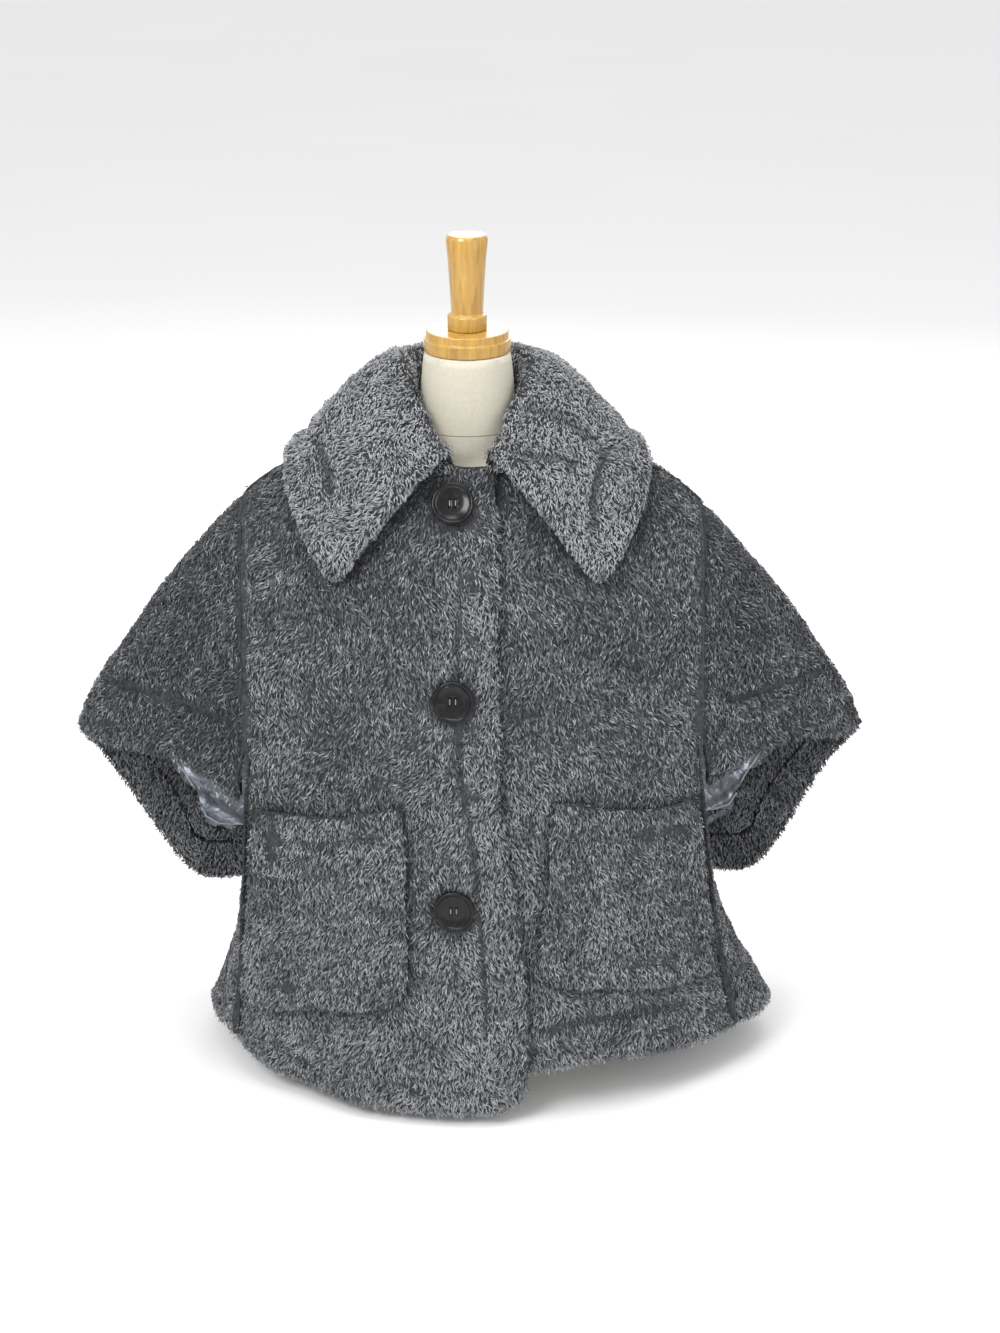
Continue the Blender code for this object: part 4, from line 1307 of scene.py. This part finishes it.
    def _locks(
        self, spots: np.ndarray, normals: np.ndarray, rim: np.ndarray, parted: np.ndarray, shell: ClothShell,
        rng: np.random.Generator,
    ) -> tuple[np.ndarray, np.ndarray]:
        """Shape one leaf a root.

        Args:
            spots: Root points.
            normals: Their normals.
            rim: Whether each is on a rim.
            parted: How far the pile is parted there, from 0 to 1.
            shell: The shell they grow on.
            rng: Source of the scatter.

        Returns:
            Four corners a lock, and their (tone, along, unshaded) marks; the last is the share of light left
            after painted shade.
        """
        count, seed = len(spots), shell.seed
        fall = np.array([0.0, 0.0, -1.0]) + unit(spots * (1, 1, 0)) * 0.35
        fall = unit(fall - normals * np.sum(fall * normals, axis=1, keepdims=True) + 1e-9)
        side = np.cross(normals, fall)
        turn = self.swirl * lattice_noise(spots, self.swirl_size, seed + 3)
        turn += self.swirl * 0.6 * lattice_noise(spots, 0.011, seed + 5)
        turn += rng.normal(0, self.jitter, count)
        along = fall * np.cos(turn)[:, None] + side * np.sin(turn)[:, None]
        across = np.cross(normals, along)
        clump = lattice_noise(spots, self.clump_size, seed + 17)
        ahead = spots + along * self.length * 0.7
        parted = np.maximum(parted, shell.sink(ahead + normals * shell.nap, normals)[1])
        size = rng.uniform(0.7, 1.3, count) * (1 - 0.3 * parted) * np.where(rim, self.rim_length, 1.0)
        length = (self.length * size)[:, None]
        height = self.height * rng.uniform(0.45, 1.2, count) * (1 - 0.6 * parted) * (1 + 0.35 * clump)
        height = height[:, None]
        half = (self.width * rng.uniform(0.7, 1.25, count) * 0.5)[:, None]
        bend = across * rng.normal(0, 0.22, count)[:, None] * length
        root = spots - normals * self.root_depth
        middle = spots + along * length * self.middle_at + normals * height + bend * 0.35
        roll = normals * rng.normal(0, 0.45, count)[:, None]
        leaf = unit(across + roll)
        tip = spots + along * length + normals * height * rng.uniform(0.35, 1.0, count)[:, None] + bend
        corners = np.stack([root, middle + leaf * half, tip, middle - leaf * half], axis=1)
        cloud = 0.12 * lattice_noise(spots, 0.016, seed + 11) + 0.10 * lattice_noise(spots, 0.05, seed + 13)
        # painted light: a lighter band down the front
        cloud += self.front_painted_light * bell(spots[:, 0] - 0.012, 0.05) * (spots[:, 1] < -0.1)
        # painted light and shade: lighter lower down and darker up the chest, darker in the hollows between
        # clumps
        cloud += 0.08 * clump + (0.40 - spots[:, 2]) * 0.40
        tone = np.clip(0.5 + self.tone + cloud + rng.normal(0, 0.23, count), 0.02, 0.98)
        # painted shade: darker where the pile is parted in creases, seams and round the buttons, on soft rims
        # and in the hollows between clumps
        unshaded = (1 - 0.88 * parted) * np.where(rim, self.rim_unshaded, 1.0) * (1 - 0.22 * np.clip(-clump, 0, 1))
        marks = np.empty((count, 4, 4), np.float32)
        marks[..., 0] = tone[:, None]
        marks[..., 1] = self.along
        marks[..., 2] = unshaded[:, None]
        marks[..., 3] = 1.0
        return corners, marks

    def _pieces(
        self, name: str, spots: np.ndarray, corners: np.ndarray, marks: np.ndarray
    ) -> list[bpy.types.Object]:
        """Join the locks to pieces of a fair size.

        Args:
            name: The node's name.
            spots: Root points.
            corners: Four corners a lock.
            marks: Their marks.

        Returns:
            The pieces.
        """
        parts = max(1, math.ceil(len(spots) / self.most))
        order = np.argsort(spots[:, 0], kind="stable")
        pieces = []
        for number, chosen in enumerate(np.array_split(order, parts), 1):
            label = f"{name}_pile" if parts == 1 else f"{name}_pile_{number}"
            count = len(chosen)
            faces = np.arange(count * 4).reshape(count, 4)
            piece = new_piece(label, corners[chosen].reshape(-1, 3), faces)
            tint = piece.data.color_attributes.new("pile", "FLOAT_COLOR", "POINT")
            tint.data.foreach_set("color", marks[chosen].ravel())
            self._bake_map(piece.data, count)
            pieces.append(piece)
        return pieces

    @staticmethod
    def _bake_map(mesh: bpy.types.Mesh, count: int) -> None:
        """Give each lock its own cell of a square map.

        Args:
            mesh: The joined locks.
            count: How many there are.
        """
        side = math.ceil(math.sqrt(count))
        cell = np.stack(np.divmod(np.arange(count), side)[::-1], axis=1)
        corner = np.array([[0.5, 0.08], [0.92, 0.5], [0.5, 0.92], [0.08, 0.5]])
        spots = (cell[:, None, :] + corner[None]) / side
        layer = mesh.uv_layers.new(name="OFBake")
        layer.data.foreach_set("uv", spots.astype(np.float32).ravel())


# listed creases, in millimetres


PLACKET_STITCH = Crease(
    ((-8.7, -133.9, 635.2), (-8.7, -149.7, 585.9), (-8.9, -160.5, 535.4), (-9.2, -177.2, 442.3),
     (-7.3, -182.6, 409.7), (5.9, -195.2, 324), (14, -204.7, 235), (18.1, -210.7, 153), (15.8, -213.9, 83.8)),
    2.4, 2.4, 0.75)
RIGHT_POCKET_BAND = Crease(
    ((-216.6, -153.4, 318), (-190.2, -161.1, 317), (-151.7, -176.1, 320), (-118.3, -186, 332.2),
     (-81.5, -191.2, 334.7)), 2.6, 1.5, 0.35)
LEFT_POCKET_BAND = Crease(
    ((88.2, -187.5, 338.7), (128.1, -179.3, 332.4), (163.1, -172.4, 325.5), (201.5, -161.8, 327.3),
     (246.5, -139.4, 325.8)), 2.6, 1.5, 0.35)
LEFT_HEM_STITCH = Crease(
    ((72.2, -197.8, 108.7), (107.6, -194.6, 114.2), (152.8, -179.9, 115.5), (200.1, -165.1, 115.5),
     (245.1, -131.4, 107.2)), 3.2, 2.2, 0.8)
BUTTONHOLE_FOLD = Crease(((39.2, -162.7, 464.1), (60, -164.5, 463.4), (80.4, -164.4, 464.8)), 3.5, 1.6, 0.5)
RIGHT_SIDE_FOLD = Crease(
    ((-224, -150, 300), (-226, -147, 262), (-229.7, -141.9, 219), (-239.2, -133.1, 163), (-256, -107, 112),
     (-262, -98, 66), (-264, -92, 24)), 3.2, 3.5, 0.6)
LEFT_SIDE_FOLD = Crease(
    ((246, -138, 300), (254, -130, 262), (264, -118, 222), (275, -107.5, 184), (286, -100, 140),
     (291.7, -95.8, 104), (292, -92, 50)), 3.2, 3.5, 0.6)
RIGHT_SLEEVE_HEM = Crease(
    ((-398.9, -17.6, 446.8), (-338.1, -70.4, 451.2), (-303.6, -91.2, 448.4), (-268.9, -110.1, 441.5),
     (-234.9, -126.1, 435.8)), 2.4, 4.0, 0.8)
LEFT_SLEEVE_HEM = Crease(
    ((261.5, -108.7, 458.1), (292.4, -95.3, 455.9), (326.1, -74.9, 460), (373.1, -39.4, 459.3),
     (388, -24.2, 458.9)), 2.4, 4.0, 0.8)
BACK_CREASES = (
    Crease(((-236, 96, 104), (-180, 138, 112), (-110, 156, 108), (-40, 166, 112), (40, 168, 108),
            (110, 158, 112), (180, 138, 106), (240, 96, 112)), 3.2, 2.0, 0.7),
    Crease(((-62, 118, 640), (-70, 128, 560), (-66, 142, 470), (-74, 152, 380)), 9.0, 1.8, 0.12),
    Crease(((78, 118, 610), (70, 132, 520), (82, 146, 430), (76, 154, 350)), 10.0, 1.6, 0.12),
)
COLLAR_CREASES = (
    Crease(((-154.9, -41, 722.5), (-150, -62, 713), (-143.3, -83.6, 702.2), (-139.1, -109.8, 679.6)),
           4.0, 3.4, 0.85),
    Crease(((143.6, -52.2, 723.7), (134.1, -93.5, 698.9), (129.6, -115.1, 677.1), (129.4, -131.6, 645.2)),
           4.0, 3.4, 0.85),
    Crease(((51.5, -52.5, 759), (95.6, -59.8, 752.7), (143.4, -58.6, 720.2)), 5.0, 3.4, 0.6),
    Crease(((36, -101.9, 730.2), (69.5, -103.2, 725.3), (121.9, -85.9, 711.5)), 4.5, 3.2, 0.7),
)


def mirrored(crease: Crease, shift: tuple[float, float, float]) -> Crease:
    """A similar crease on the other hand.

    Args:
        crease: The crease to follow.
        shift: What its points are moved by, in millimetres, after X is turned round.

    Returns:
        The other crease.
    """
    line = tuple((-x + shift[0], y + shift[1], z + shift[2]) for x, y, z in crease.line)
    return Crease(line, crease.width, crease.depth, crease.part)


RIGHT_LINING_FOLDS = (
    Crease(((-346, 76, 306), (-330, 86, 283), (-317, 94, 266), (-293, 105, 257), (-262, 112, 262)),
           5.0, 3.6, 0),
    Crease(((-336, 84, 292), (-318, 93, 277), (-292, 104, 272), (-258, 110, 280)), 5.5, -4.2, 0),
    Crease(((-326, 91, 247), (-312, 97, 256), (-292, 106, 238), (-272, 116, 219), (-250, 118, 205)),
           4.5, 3.4, 0),
    Crease(((-330, 89, 262), (-311, 98, 246), (-290, 108, 226), (-268, 116, 206)), 5.0, -4.4, 0),
    Crease(((-315, 99, 226), (-297, 107, 214), (-276, 115, 196)), 4.5, 3.0, 0),
    Crease(((-352, 66, 330), (-322, 88, 318), (-284, 104, 306), (-250, 110, 318)), 7.0, 3.2, 0),
    Crease(((-372, 40, 352), (-338, 72, 372), (-300, 96, 350), (-262, 106, 360)), 8.0, -4.0, 0),
    Crease(((-384, -8, 420), (-348, -46, 402), (-312, -76, 414), (-262, -98, 398)), 8.0, -4.0, 0),
    Crease(((-372, -22, 470), (-330, -60, 452), (-286, -86, 466), (-248, -100, 446)), 8.0, 3.0, 0),
    Crease(((-344, 60, 430), (-306, 84, 452), (-262, 98, 436)), 8.0, -3.6, 0),
)
LINING_FOLDS = {
    "right": RIGHT_LINING_FOLDS,
    "left": tuple(
        mirrored(fold, (-13.0, -1.0, 3.0 - 2.0 * (k % 3))) for k, fold in enumerate(RIGHT_LINING_FOLDS)),
}


# sub-assemblies


BODY_PILE = Pile(tone=0.01, front_painted_light=0.20)
BACK_PILE = Pile(density=0.140e6, length=0.0078, width=0.00172, tone=0.01)
# the sleeves' lowered tone is painted shade
SLEEVE_PILE = Pile(tone=-0.06)
# the collar's raised tone is painted light
COLLAR_PILE = Pile(tone=0.50, length=0.0066, height=0.0038, swirl=1.0)
POCKET_PILE = Pile(tone=0.03, swirl=0.5, rim_length=0.6, rim_unshaded=0.55)
# the raised tone of the turned-up hem inside the sleeves is painted light, and it takes little painted
# contact shade
STRIP_PILE = Pile(tone=0.46, height=0.0020, length=0.006, contact_shade=0.1)


@dataclass(frozen=True)
class SleeveSide:
    """One sleeve: width, length and area of its three cuts, its hem line and the strip on its lining."""

    hand: str
    outer: tuple[float, float, float]
    facing: tuple[float, float, float]
    lining: tuple[float, float, float]
    hem: Crease
    band: float
    seed: int


SLEEVES = (
    SleeveSide("right", (0.778, 0.340, 0.1277), (0.603, 0.049, 0.0223), (0.778, 0.299, 0.1054),
               RIGHT_SLEEVE_HEM, 0.020, 72),
    SleeveSide("left", (0.732, 0.322, 0.1125), (0.569, 0.050, 0.0209), (0.732, 0.280, 0.0916),
               LEFT_SLEEVE_HEM, 0.030, 71),
)


@dataclass
class Coat:
    """All cloth of the coat."""

    nodes: dict[str, bpy.types.Object]

    @staticmethod
    def body_shells() -> list[tuple[ClothShell, Pile]]:
        """Back, fronts, collar and pockets, each with its pile."""
        slot, out, form = "grey_pile", Out.FROM_BODY, ("form_torso",)
        return [
            (ClothShell("back", slot, Cut(1.30, 0.774, 0.478, "draped", form), out, 0.007,
                        creases=(RIGHT_SIDE_FOLD, LEFT_SIDE_FOLD, *BACK_CREASES), seed=11), BACK_PILE),
            (ClothShell("front_right", slot, Cut(0.375, 0.788, 0.2175, "draped", form), out, 0.007,
                        creases=(PLACKET_STITCH, RIGHT_SIDE_FOLD), seed=23, lift=NeckLift()), BODY_PILE),
            (ClothShell("front_left", slot, Cut(0.375, 0.740, 0.214, "draped", form), out, 0.007,
                        creases=(LEFT_HEM_STITCH, BUTTONHOLE_FOLD, LEFT_SIDE_FOLD), seed=37,
                        lift=NeckLift(rise=(0.0, 0.009, 0.015))), BODY_PILE),
            (ClothShell("collar", slot,
                        Cut(0.871, 0.233, 0.1379, "folded", (*form, "front_right", "front_left")),
                        Out.BOTH, 0.013, creases=COLLAR_CREASES, seed=41, lumps=0.0018, roll=0.0030,
                        inner_nap=-0.002, tip_radius=0.013), COLLAR_PILE),
            (ClothShell("pocket_right", slot, Cut(0.193, 0.266, 0.0435, "laid", ("front_right",)), out,
                        0.010, nap=0.0024, creases=(RIGHT_POCKET_BAND,), seed=53), POCKET_PILE),
            (ClothShell("pocket_left", slot, Cut(0.202, 0.236, 0.0397, "laid", ("front_left",)), out,
                        0.010, nap=0.0024, creases=(LEFT_POCKET_BAND,), seed=59), POCKET_PILE),
        ]

    @staticmethod
    def sleeve_shells() -> list[tuple[ClothShell, Pile]]:
        """Sleeves, their facings and their linings, each with its pile."""
        slot = "grey_pile_sleeve"
        outers, facings, linings = [], [], []
        for side in SLEEVES:
            sleeve = f"sleeve_{side.hand}"
            outers.append((ClothShell(
                sleeve, slot, Cut(*side.outer, "hung", (f"front_{side.hand}", "back")), Out.FROM_OWN, 0.007,
                creases=(side.hem,), seed=side.seed), SLEEVE_PILE))
            facings.append((ClothShell(
                f"sleeve_facing_{side.hand}", slot, Cut(*side.facing, "hung", (sleeve,)), Out.TO_OWN, 0.005,
                nap=0.0016, seam_dip=0.0, seam_part=0.0, roll=0.0, seed=79), STRIP_PILE))
            linings.append((ClothShell(
                f"sleeve_lining_{side.hand}", "slate_satin", Cut(*side.lining, "hung", (sleeve,)),
                Out.TO_OWN, 0.002, nap=0.0, seam_dip=0.0, seam_part=0.0, lumps=0.0014, roll=0.0, levels=3,
                creases=LINING_FOLDS[side.hand], seed=83, band=side.band), STRIP_PILE))
        return outers + facings + linings

    @staticmethod
    def bald_spots() -> list[tuple[Vector, float]]:
        """Middles and radii of the buttons, where the pile is pressed flat."""
        boxes = [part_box(name) for name in BUTTONS]
        return [((Vector(low) + Vector(high)) / 2, PRESSED_RADIUS) for low, high in boxes]

    @staticmethod
    def hem_groove(lining: bpy.types.Object, hem: BVHTree) -> Crease:
        """The stitched groove of a sleeve's hem on its hidden side.

        Args:
            lining: The lining's CAD node.
            hem: Tree of the turned-up hem.

        Returns:
            The groove, over the hem's inner edge.
        """
        spots = np.array([v.co[:] for v in lining.data.vertices])
        ring = closed_line(np.array([p for p in spots if hem.find_nearest(Vector(p), 0.0045)[0]]))
        ring = np.roll(ring, -int(np.argmin(ring[:, 1])), axis=0)
        back = ring[ring[:, 1] > -0.012]
        return Crease(tuple(tuple(float(c) / MM for c in spot) for spot in back[::2]), 2.6, 3.2, 0.7)

    def build(self) -> int:
        """Build and dress all cloth.

        Returns:
            The number of locks.
        """
        self.surroundings = Surroundings(self.nodes)
        self.satin = Satin("slate_satin_lining", (0.40, 0.44, 0.52), (0.66, 0.70, 0.78)).material()
        self.grounds = {name: PileGround(f"{name}_ground", *tones).material() for name, *tones in (
            ("grey_pile", (0.016, 0.017, 0.019), (0.074, 0.077, 0.082)),
            # the sleeve copy is darker: painted shade on the sleeves
            ("grey_pile_sleeve", (0.013, 0.014, 0.016), (0.060, 0.063, 0.068)),
        )}
        self.locks = {name: PileLocks(f"{name}_locks", *tones).material() for name, *tones in (
            ("grey_pile", (0.022, 0.023, 0.026), (0.115, 0.121, 0.130), (0.36, 0.37, 0.385)),
            # the sleeve copy is darker: painted shade on the sleeves
            ("grey_pile_sleeve", (0.016, 0.017, 0.020), (0.092, 0.098, 0.107), (0.31, 0.32, 0.335)),
        )}
        return sum(self._cover(shell, pile) for shell, pile in self.body_shells() + self.sleeve_shells())

    def _cover(self, shell: ClothShell, pile: Pile) -> int:
        """Build one cloth piece with its pile, and its piping if it is a lining.

        Args:
            shell: The cloth piece.
            pile: Its pile.

        Returns:
            The number of locks.
        """
        hand = shell.node.rsplit("_", 1)[-1]
        hem = self.surroundings.trees.get(f"sleeve_facing_{hand}")
        if shell.node == f"sleeve_{hand}":
            shell.creases += (self.hem_groove(self.nodes[f"sleeve_lining_{hand}"], hem),)
        lining = shell.band > 0
        kind = "grey_pile_sleeve" if lining else shell.slot
        piece = shell.build(self.nodes[shell.node], hem if lining else None)
        if lining:
            thread = Thread(f"pale_piping_{hand}", (0.42, 0.45, 0.50), (0.62, 0.65, 0.70)).material()
            declare(Piping(hand).build(shell.band_edge()), thread)
        near = self.surroundings.others(shell.node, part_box(shell.node), 0.01)
        pieces = pile.grow(shell, near, self.bald_spots(), shell.seed)
        for part in pieces:
            declare(part, self.locks[kind])
        shell.dress(piece, self.grounds[kind], self.satin, pieces)
        return sum(len(part.data.polygons) for part in pieces)


@dataclass(frozen=True)
class Piping:
    """The thin piping where a sleeve's lining meets its turned-up hem."""

    hand: str
    radius: float = 0.0012
    sides: int = 8
    near: float = 0.006

    def build(self, edge: np.ndarray) -> bpy.types.Object:
        """Lay a thin round cord along the line, where the edge is near it, and close its ends.

        Args:
            edge: Points about the line, one a row.

        Returns:
            The piping.
        """
        line = closed_line(edge)
        ahead = unit(np.roll(line, -1, axis=0) - np.roll(line, 1, axis=0))
        out = unit(line - line.mean(axis=0))
        out = unit(out - ahead * np.sum(out * ahead, axis=1, keepdims=True))
        side = np.cross(ahead, out)
        turns = np.linspace(0, math.tau, self.sides, endpoint=False)
        rings = [line + (out * math.cos(a) + side * math.sin(a)) * self.radius for a in turns]
        points = np.stack(rings, axis=1).reshape(-1, 3)
        station, place = np.divmod(np.arange(len(points)), self.sides)
        after, beside = (station + 1) % len(line), (place + 1) % self.sides
        corners = ((station, place), (station, beside), (after, beside), (after, place))
        faces = np.stack([ring * self.sides + spot for ring, spot in corners], axis=1)
        seen = np.array([np.linalg.norm(edge - spot, axis=1).min() < self.near for spot in line])
        piece = new_piece(f"sleeve_piping_{self.hand}", points, faces[seen[station] & seen[after]])
        shape = bmesh.new()
        shape.from_mesh(piece.data)
        loose = [vert for vert in shape.verts if not vert.link_faces]
        bmesh.ops.delete(shape, geom=loose, context="VERTS")
        bmesh.ops.holes_fill(shape, edges=shape.edges, sides=0)
        bmesh.ops.recalc_face_normals(shape, faces=shape.faces)
        shape.to_mesh(piece.data)
        shape.free()
        piece.data.shade_smooth()
        return piece


def faces_up(middle: Vector, normal: Vector) -> bool:
    """Whether a face looks up."""
    return normal.z > 0.9


@dataclass
class CoatButton:
    """A dished four-hole button with its sewing; the steps are (inset, rise) from the rim inwards."""

    node: str
    radius: float = 0.0214
    wall: float = 0.0046
    rim: float = 0.0036
    hole: float = 0.0016
    spread: float = 0.0030
    thread: float = 0.00065
    rim_steps: ClassVar[tuple[tuple[float, float], ...]] = (
        (0.14, 0.0006), (0.18, 0.0003), (0.22, 0.0), (0.20, -0.0004), (0.14, -0.0007))
    dish_steps: ClassVar[tuple[tuple[float, float], ...]] = (
        (0.0006, -0.0007), (0.0010, 0.0005), (0.0024, -0.0008), (0.0036, -0.0005), (0.0030, -0.0001))

    def build(self, source: bpy.types.Object) -> bpy.types.Object:
        """Model the button and set it on its place.

        Args:
            source: The CAD button, which gives the place.

        Returns:
            The finished button.
        """
        piece = cylinder(self.node + "_turned", 72, self.radius, self.wall)

        def on_top(middle: Vector, normal: Vector) -> bool:
            """Whether a face is the one on top."""
            return normal.z > 0.9 and middle.z > self.wall / 4 and middle.length < self.radius * 0.3

        with edit_faces(piece, on_top):
            for share, rise in self.rim_steps:
                bpy.ops.mesh.inset(thickness=share * self.rim, depth=rise)
            for thickness, rise in self.dish_steps:
                bpy.ops.mesh.inset(thickness=thickness, depth=rise)
        self._drill(piece)
        bevel_edges(piece, 0.0006, 3, 32)
        make_active(piece)
        bpy.ops.object.shade_smooth_by_angle(angle=math.radians(40))
        settle(piece, self.frame(source))
        return piece

    def _drill(self, piece: bpy.types.Object) -> None:
        """Cut the four sewing holes.

        Args:
            piece: The button blank.
        """
        for across, up in ((-1, -1), (-1, 1), (1, -1), (1, 1)):
            bit = cylinder("bit", 20, self.hole, 0.02, (across * self.spread, up * self.spread, 0))
            hole = piece.modifiers.new("hole", "BOOLEAN")
            hole.operation = "DIFFERENCE"
            hole.solver = "EXACT"
            hole.object = bit
            finish_modifiers(piece)
            bpy.data.objects.remove(bit)

    def stitch(self, across: float, source: bpy.types.Object) -> bpy.types.Object:
        """One upright stitch between two holes.

        Args:
            across: -1 or 1, the pair of holes.
            source: The CAD button.

        Returns:
            The stitch.
        """
        name = f"{self.node}_stitch_{'a' if across < 0 else 'b'}"
        piece = cylinder(name, 14, self.thread, 2 * self.spread)

        def is_end(middle: Vector, normal: Vector) -> bool:
            """Whether a face closes an end."""
            return abs(normal.z) > 0.9

        with edit_faces(piece, is_end):
            extrude_up(0)
        bevel_edges(piece, 0.0005, 3)
        place = Matrix.Translation((across * self.spread, 0, self.wall / 2 - 0.0009))
        settle(piece, self.frame(source) @ place @ Matrix.Rotation(math.pi / 2, 4, "X"))
        piece.data.shade_smooth()
        return piece

    @staticmethod
    def frame(source: bpy.types.Object) -> Matrix:
        """The place and turn of a CAD button.

        Args:
            source: The CAD button.

        Returns:
            A frame whose Z looks out of the button's face and whose Y points up.
        """
        points = np.array([v.co[:] for v in source.data.vertices])
        middle = (points.max(axis=0) + points.min(axis=0)) / 2
        thin = np.linalg.svd(points - middle, full_matrices=False)[2][2]
        out = Vector(thin if thin[1] < 0 else -thin).normalized()
        right = Vector((0, 0, 1)).cross(out).normalized()
        up = out.cross(right)
        turn = Matrix((right, up, out)).transposed().to_4x4()
        return Matrix.Translation(middle) @ turn

    def dress(self, source: bpy.types.Object, horn: bpy.types.Material, thread: bpy.types.Material) -> None:
        """Args:
            source: The CAD button.
            horn: The button's material.
            thread: The stitches' material.
        """
        declare(self.build(source), horn, self.node)
        for across in (-1, 1):
            declare(self.stitch(across, source), thread)


@dataclass
class DressForm:
    """The padded torso and its turned cap."""

    nodes: dict[str, bpy.types.Object]
    disc_step: ClassVar[float] = 0.0085
    bead: ClassVar[tuple[float, float]] = (0.0205, 0.0150)
    shaft: ClassVar[tuple[tuple[float, float], ...]] = (
        (0.0165, 0.0020), (0.0170, 0.0090), (0.0182, 0.0220), (0.0200, 0.0260), (0.0218, 0.0200))

    def torso(self) -> bpy.types.Object:
        """Refine the torso's form for its linen cover."""
        piece = refined("form_cover", self.nodes["form_torso"], 30, 40, 0.85, 2)
        piece.data.shade_smooth()
        return piece

    def turned(self, node: str, shape: Callable[..., bpy.types.Object]) -> bpy.types.Object:
        """Refine a turned wooden part.

        Args:
            node: The CAD node's name.
            shape: Models the part from its lowest and highest corner.

        Returns:
            The smooth turned piece.
        """
        low, high = (Vector(corner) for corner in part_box(node))
        piece = shape(low, high)
        settle(piece, Matrix.Identity(4))
        make_active(piece)
        bpy.ops.object.shade_smooth_by_angle(angle=math.radians(38))
        return piece

    def disc(self, low: Vector, high: Vector) -> bpy.types.Object:
        """The low disc that closes the neck, with a step in its rim.

        Args:
            low: Its lowest corner.
            high: Its highest corner.

        Returns:
            The disc.
        """
        middle = (low + high) / 2
        step = self.disc_step
        piece = cylinder(
            "neck_disc_turned", 96, (high.x - low.x) / 2, high.z - step - low.z,
            (middle.x, middle.y, (low.z + high.z - step) / 2))
        with edit_faces(piece, faces_up):
            bpy.ops.mesh.inset(thickness=0.0026, depth=0.0)
            extrude_up(step)
            bpy.ops.mesh.inset(thickness=0.004, depth=0.0)
        bevel_edges(piece, 0.0013, 4)
        return piece

    def knob(self, low: Vector, high: Vector) -> bpy.types.Object:
        """The handle: a bead at its foot and a shaft that widens upwards.

        Args:
            low: Its lowest corner.
            high: Its highest corner.

        Returns:
            The knob.
        """
        middle = (low + high) / 2
        before, foot = self.bead
        piece = cylinder("neck_knob_turned", 64, before, foot, (middle.x, middle.y, low.z + foot / 2))

        def on_top(face_middle: Vector, normal: Vector) -> bool:
            """Whether a face is the top."""
            return normal.z > 0.9 and face_middle.z > 0.002

        height = low.z + foot
        for size, rise in self.shaft:
            height += rise
            with edit_faces(piece, on_top):
                extrude_up(rise, size / before)
            before = size
        with edit_faces(piece, on_top):
            extrude_up(high.z - height, 0.90)
        bevel_edges(piece, 0.0012, 3)
        return piece

    def build(self) -> None:
        """Build and dress the form."""
        linen = Linen().material()
        wood = HoneyWood().material()
        declare(self.torso(), linen, "form_torso")
        for node, shape in (("neck_disc", self.disc), ("neck_knob", self.knob)):
            declare(self.turned(node, shape), wood, node)


@dataclass(frozen=True)
class Lamp:
    """A soft square lamp that shines at the middle of the coat."""

    name: str
    spot: tuple[float, float, float]
    size: float
    power: float
    aim: ClassVar[tuple[float, float, float]] = (0, 0, 0.45)

    def hang(self) -> None:
        """Add the lamp to the scene."""
        light = bpy.data.lights.new(self.name, "AREA")
        light.size = self.size
        light.energy = self.power
        lamp = bpy.data.objects.new(self.name, light)
        lamp.location = self.spot
        lamp.rotation_euler = (Vector(self.aim) - Vector(self.spot)).to_track_quat("-Z", "Y").to_euler()
        bpy.context.scene.collection.objects.link(lamp)


LAMPS = (
    Lamp("key", (-1.4, -1.9, 2.6), 1.2, 56),
    Lamp("fill", (1.9, -1.9, 1.5), 1.6, 16),
    Lamp("top", (0.1, -0.2, 2.9), 1.6, 34),
    Lamp("rear", (0.3, 2.4, 1.9), 1.8, 24),
)


@dataclass
class Studio:
    """Pale floor, soft light and the camera of the photograph."""

    eye: tuple[float, float, float] = (0.034, -2.438, 1.442)
    pitch: float = 67.9
    lens: float = 64.8
    floor_size: float = 90.0
    sky: float = 0.92

    def floor(self) -> None:
        """Lay the floor."""
        deselect_all()
        bpy.ops.mesh.primitive_grid_add(x_subdivisions=4, y_subdivisions=4, size=self.floor_size)
        piece = bpy.context.active_object
        piece.name = "studio_floor"
        settle(piece, Matrix.Translation((0, 0, -0.0005)))
        piece.data.materials.append(Backdrop().material())

    def camera(self) -> None:
        """Set the camera."""
        data = bpy.data.cameras.new("photo_camera")
        data.lens = self.lens
        data.sensor_width = 36.0
        camera = bpy.data.objects.new("photo_camera", data)
        camera.location = self.eye
        camera.rotation_euler = (math.radians(self.pitch), 0, 0)
        bpy.context.scene.collection.objects.link(camera)
        bpy.context.scene.camera = camera

    def build(self) -> None:
        """Set up floor, lamps, surroundings and camera."""
        self.floor()
        for lamp in LAMPS:
            lamp.hang()
        world = bpy.data.worlds.new("pale_room")
        world.use_nodes = True
        ground = world.node_tree.nodes["Background"]
        ground.inputs["Color"].default_value = (1.0, 1.0, 1.0, 1.0)
        ground.inputs["Strength"].default_value = self.sky
        bpy.context.scene.world = world
        bpy.context.scene.view_settings.view_transform = "Standard"
        self.camera()


def corners(box: tuple) -> list[list[float]]:
    """A box as plain lists of numbers."""
    return [[float(value) for value in corner] for corner in box]


def main() -> None:
    """Build and dress every piece in order."""
    logging.basicConfig(level=logging.INFO, format="%(message)s")
    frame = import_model()
    nodes = frame["nodes"]
    Studio().build()
    DressForm(nodes).build()
    horn = Horn().material()
    thread = Thread("button_thread", (0.10, 0.10, 0.10), (0.26, 0.26, 0.25)).material()
    for name in BUTTONS:
        CoatButton(name).dress(nodes[name], horn, thread)
    LOG.info("locks: %d", Coat(nodes).build())
    bpy.context.view_layer.update()
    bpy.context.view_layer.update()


if __name__ == "__main__":
    main()
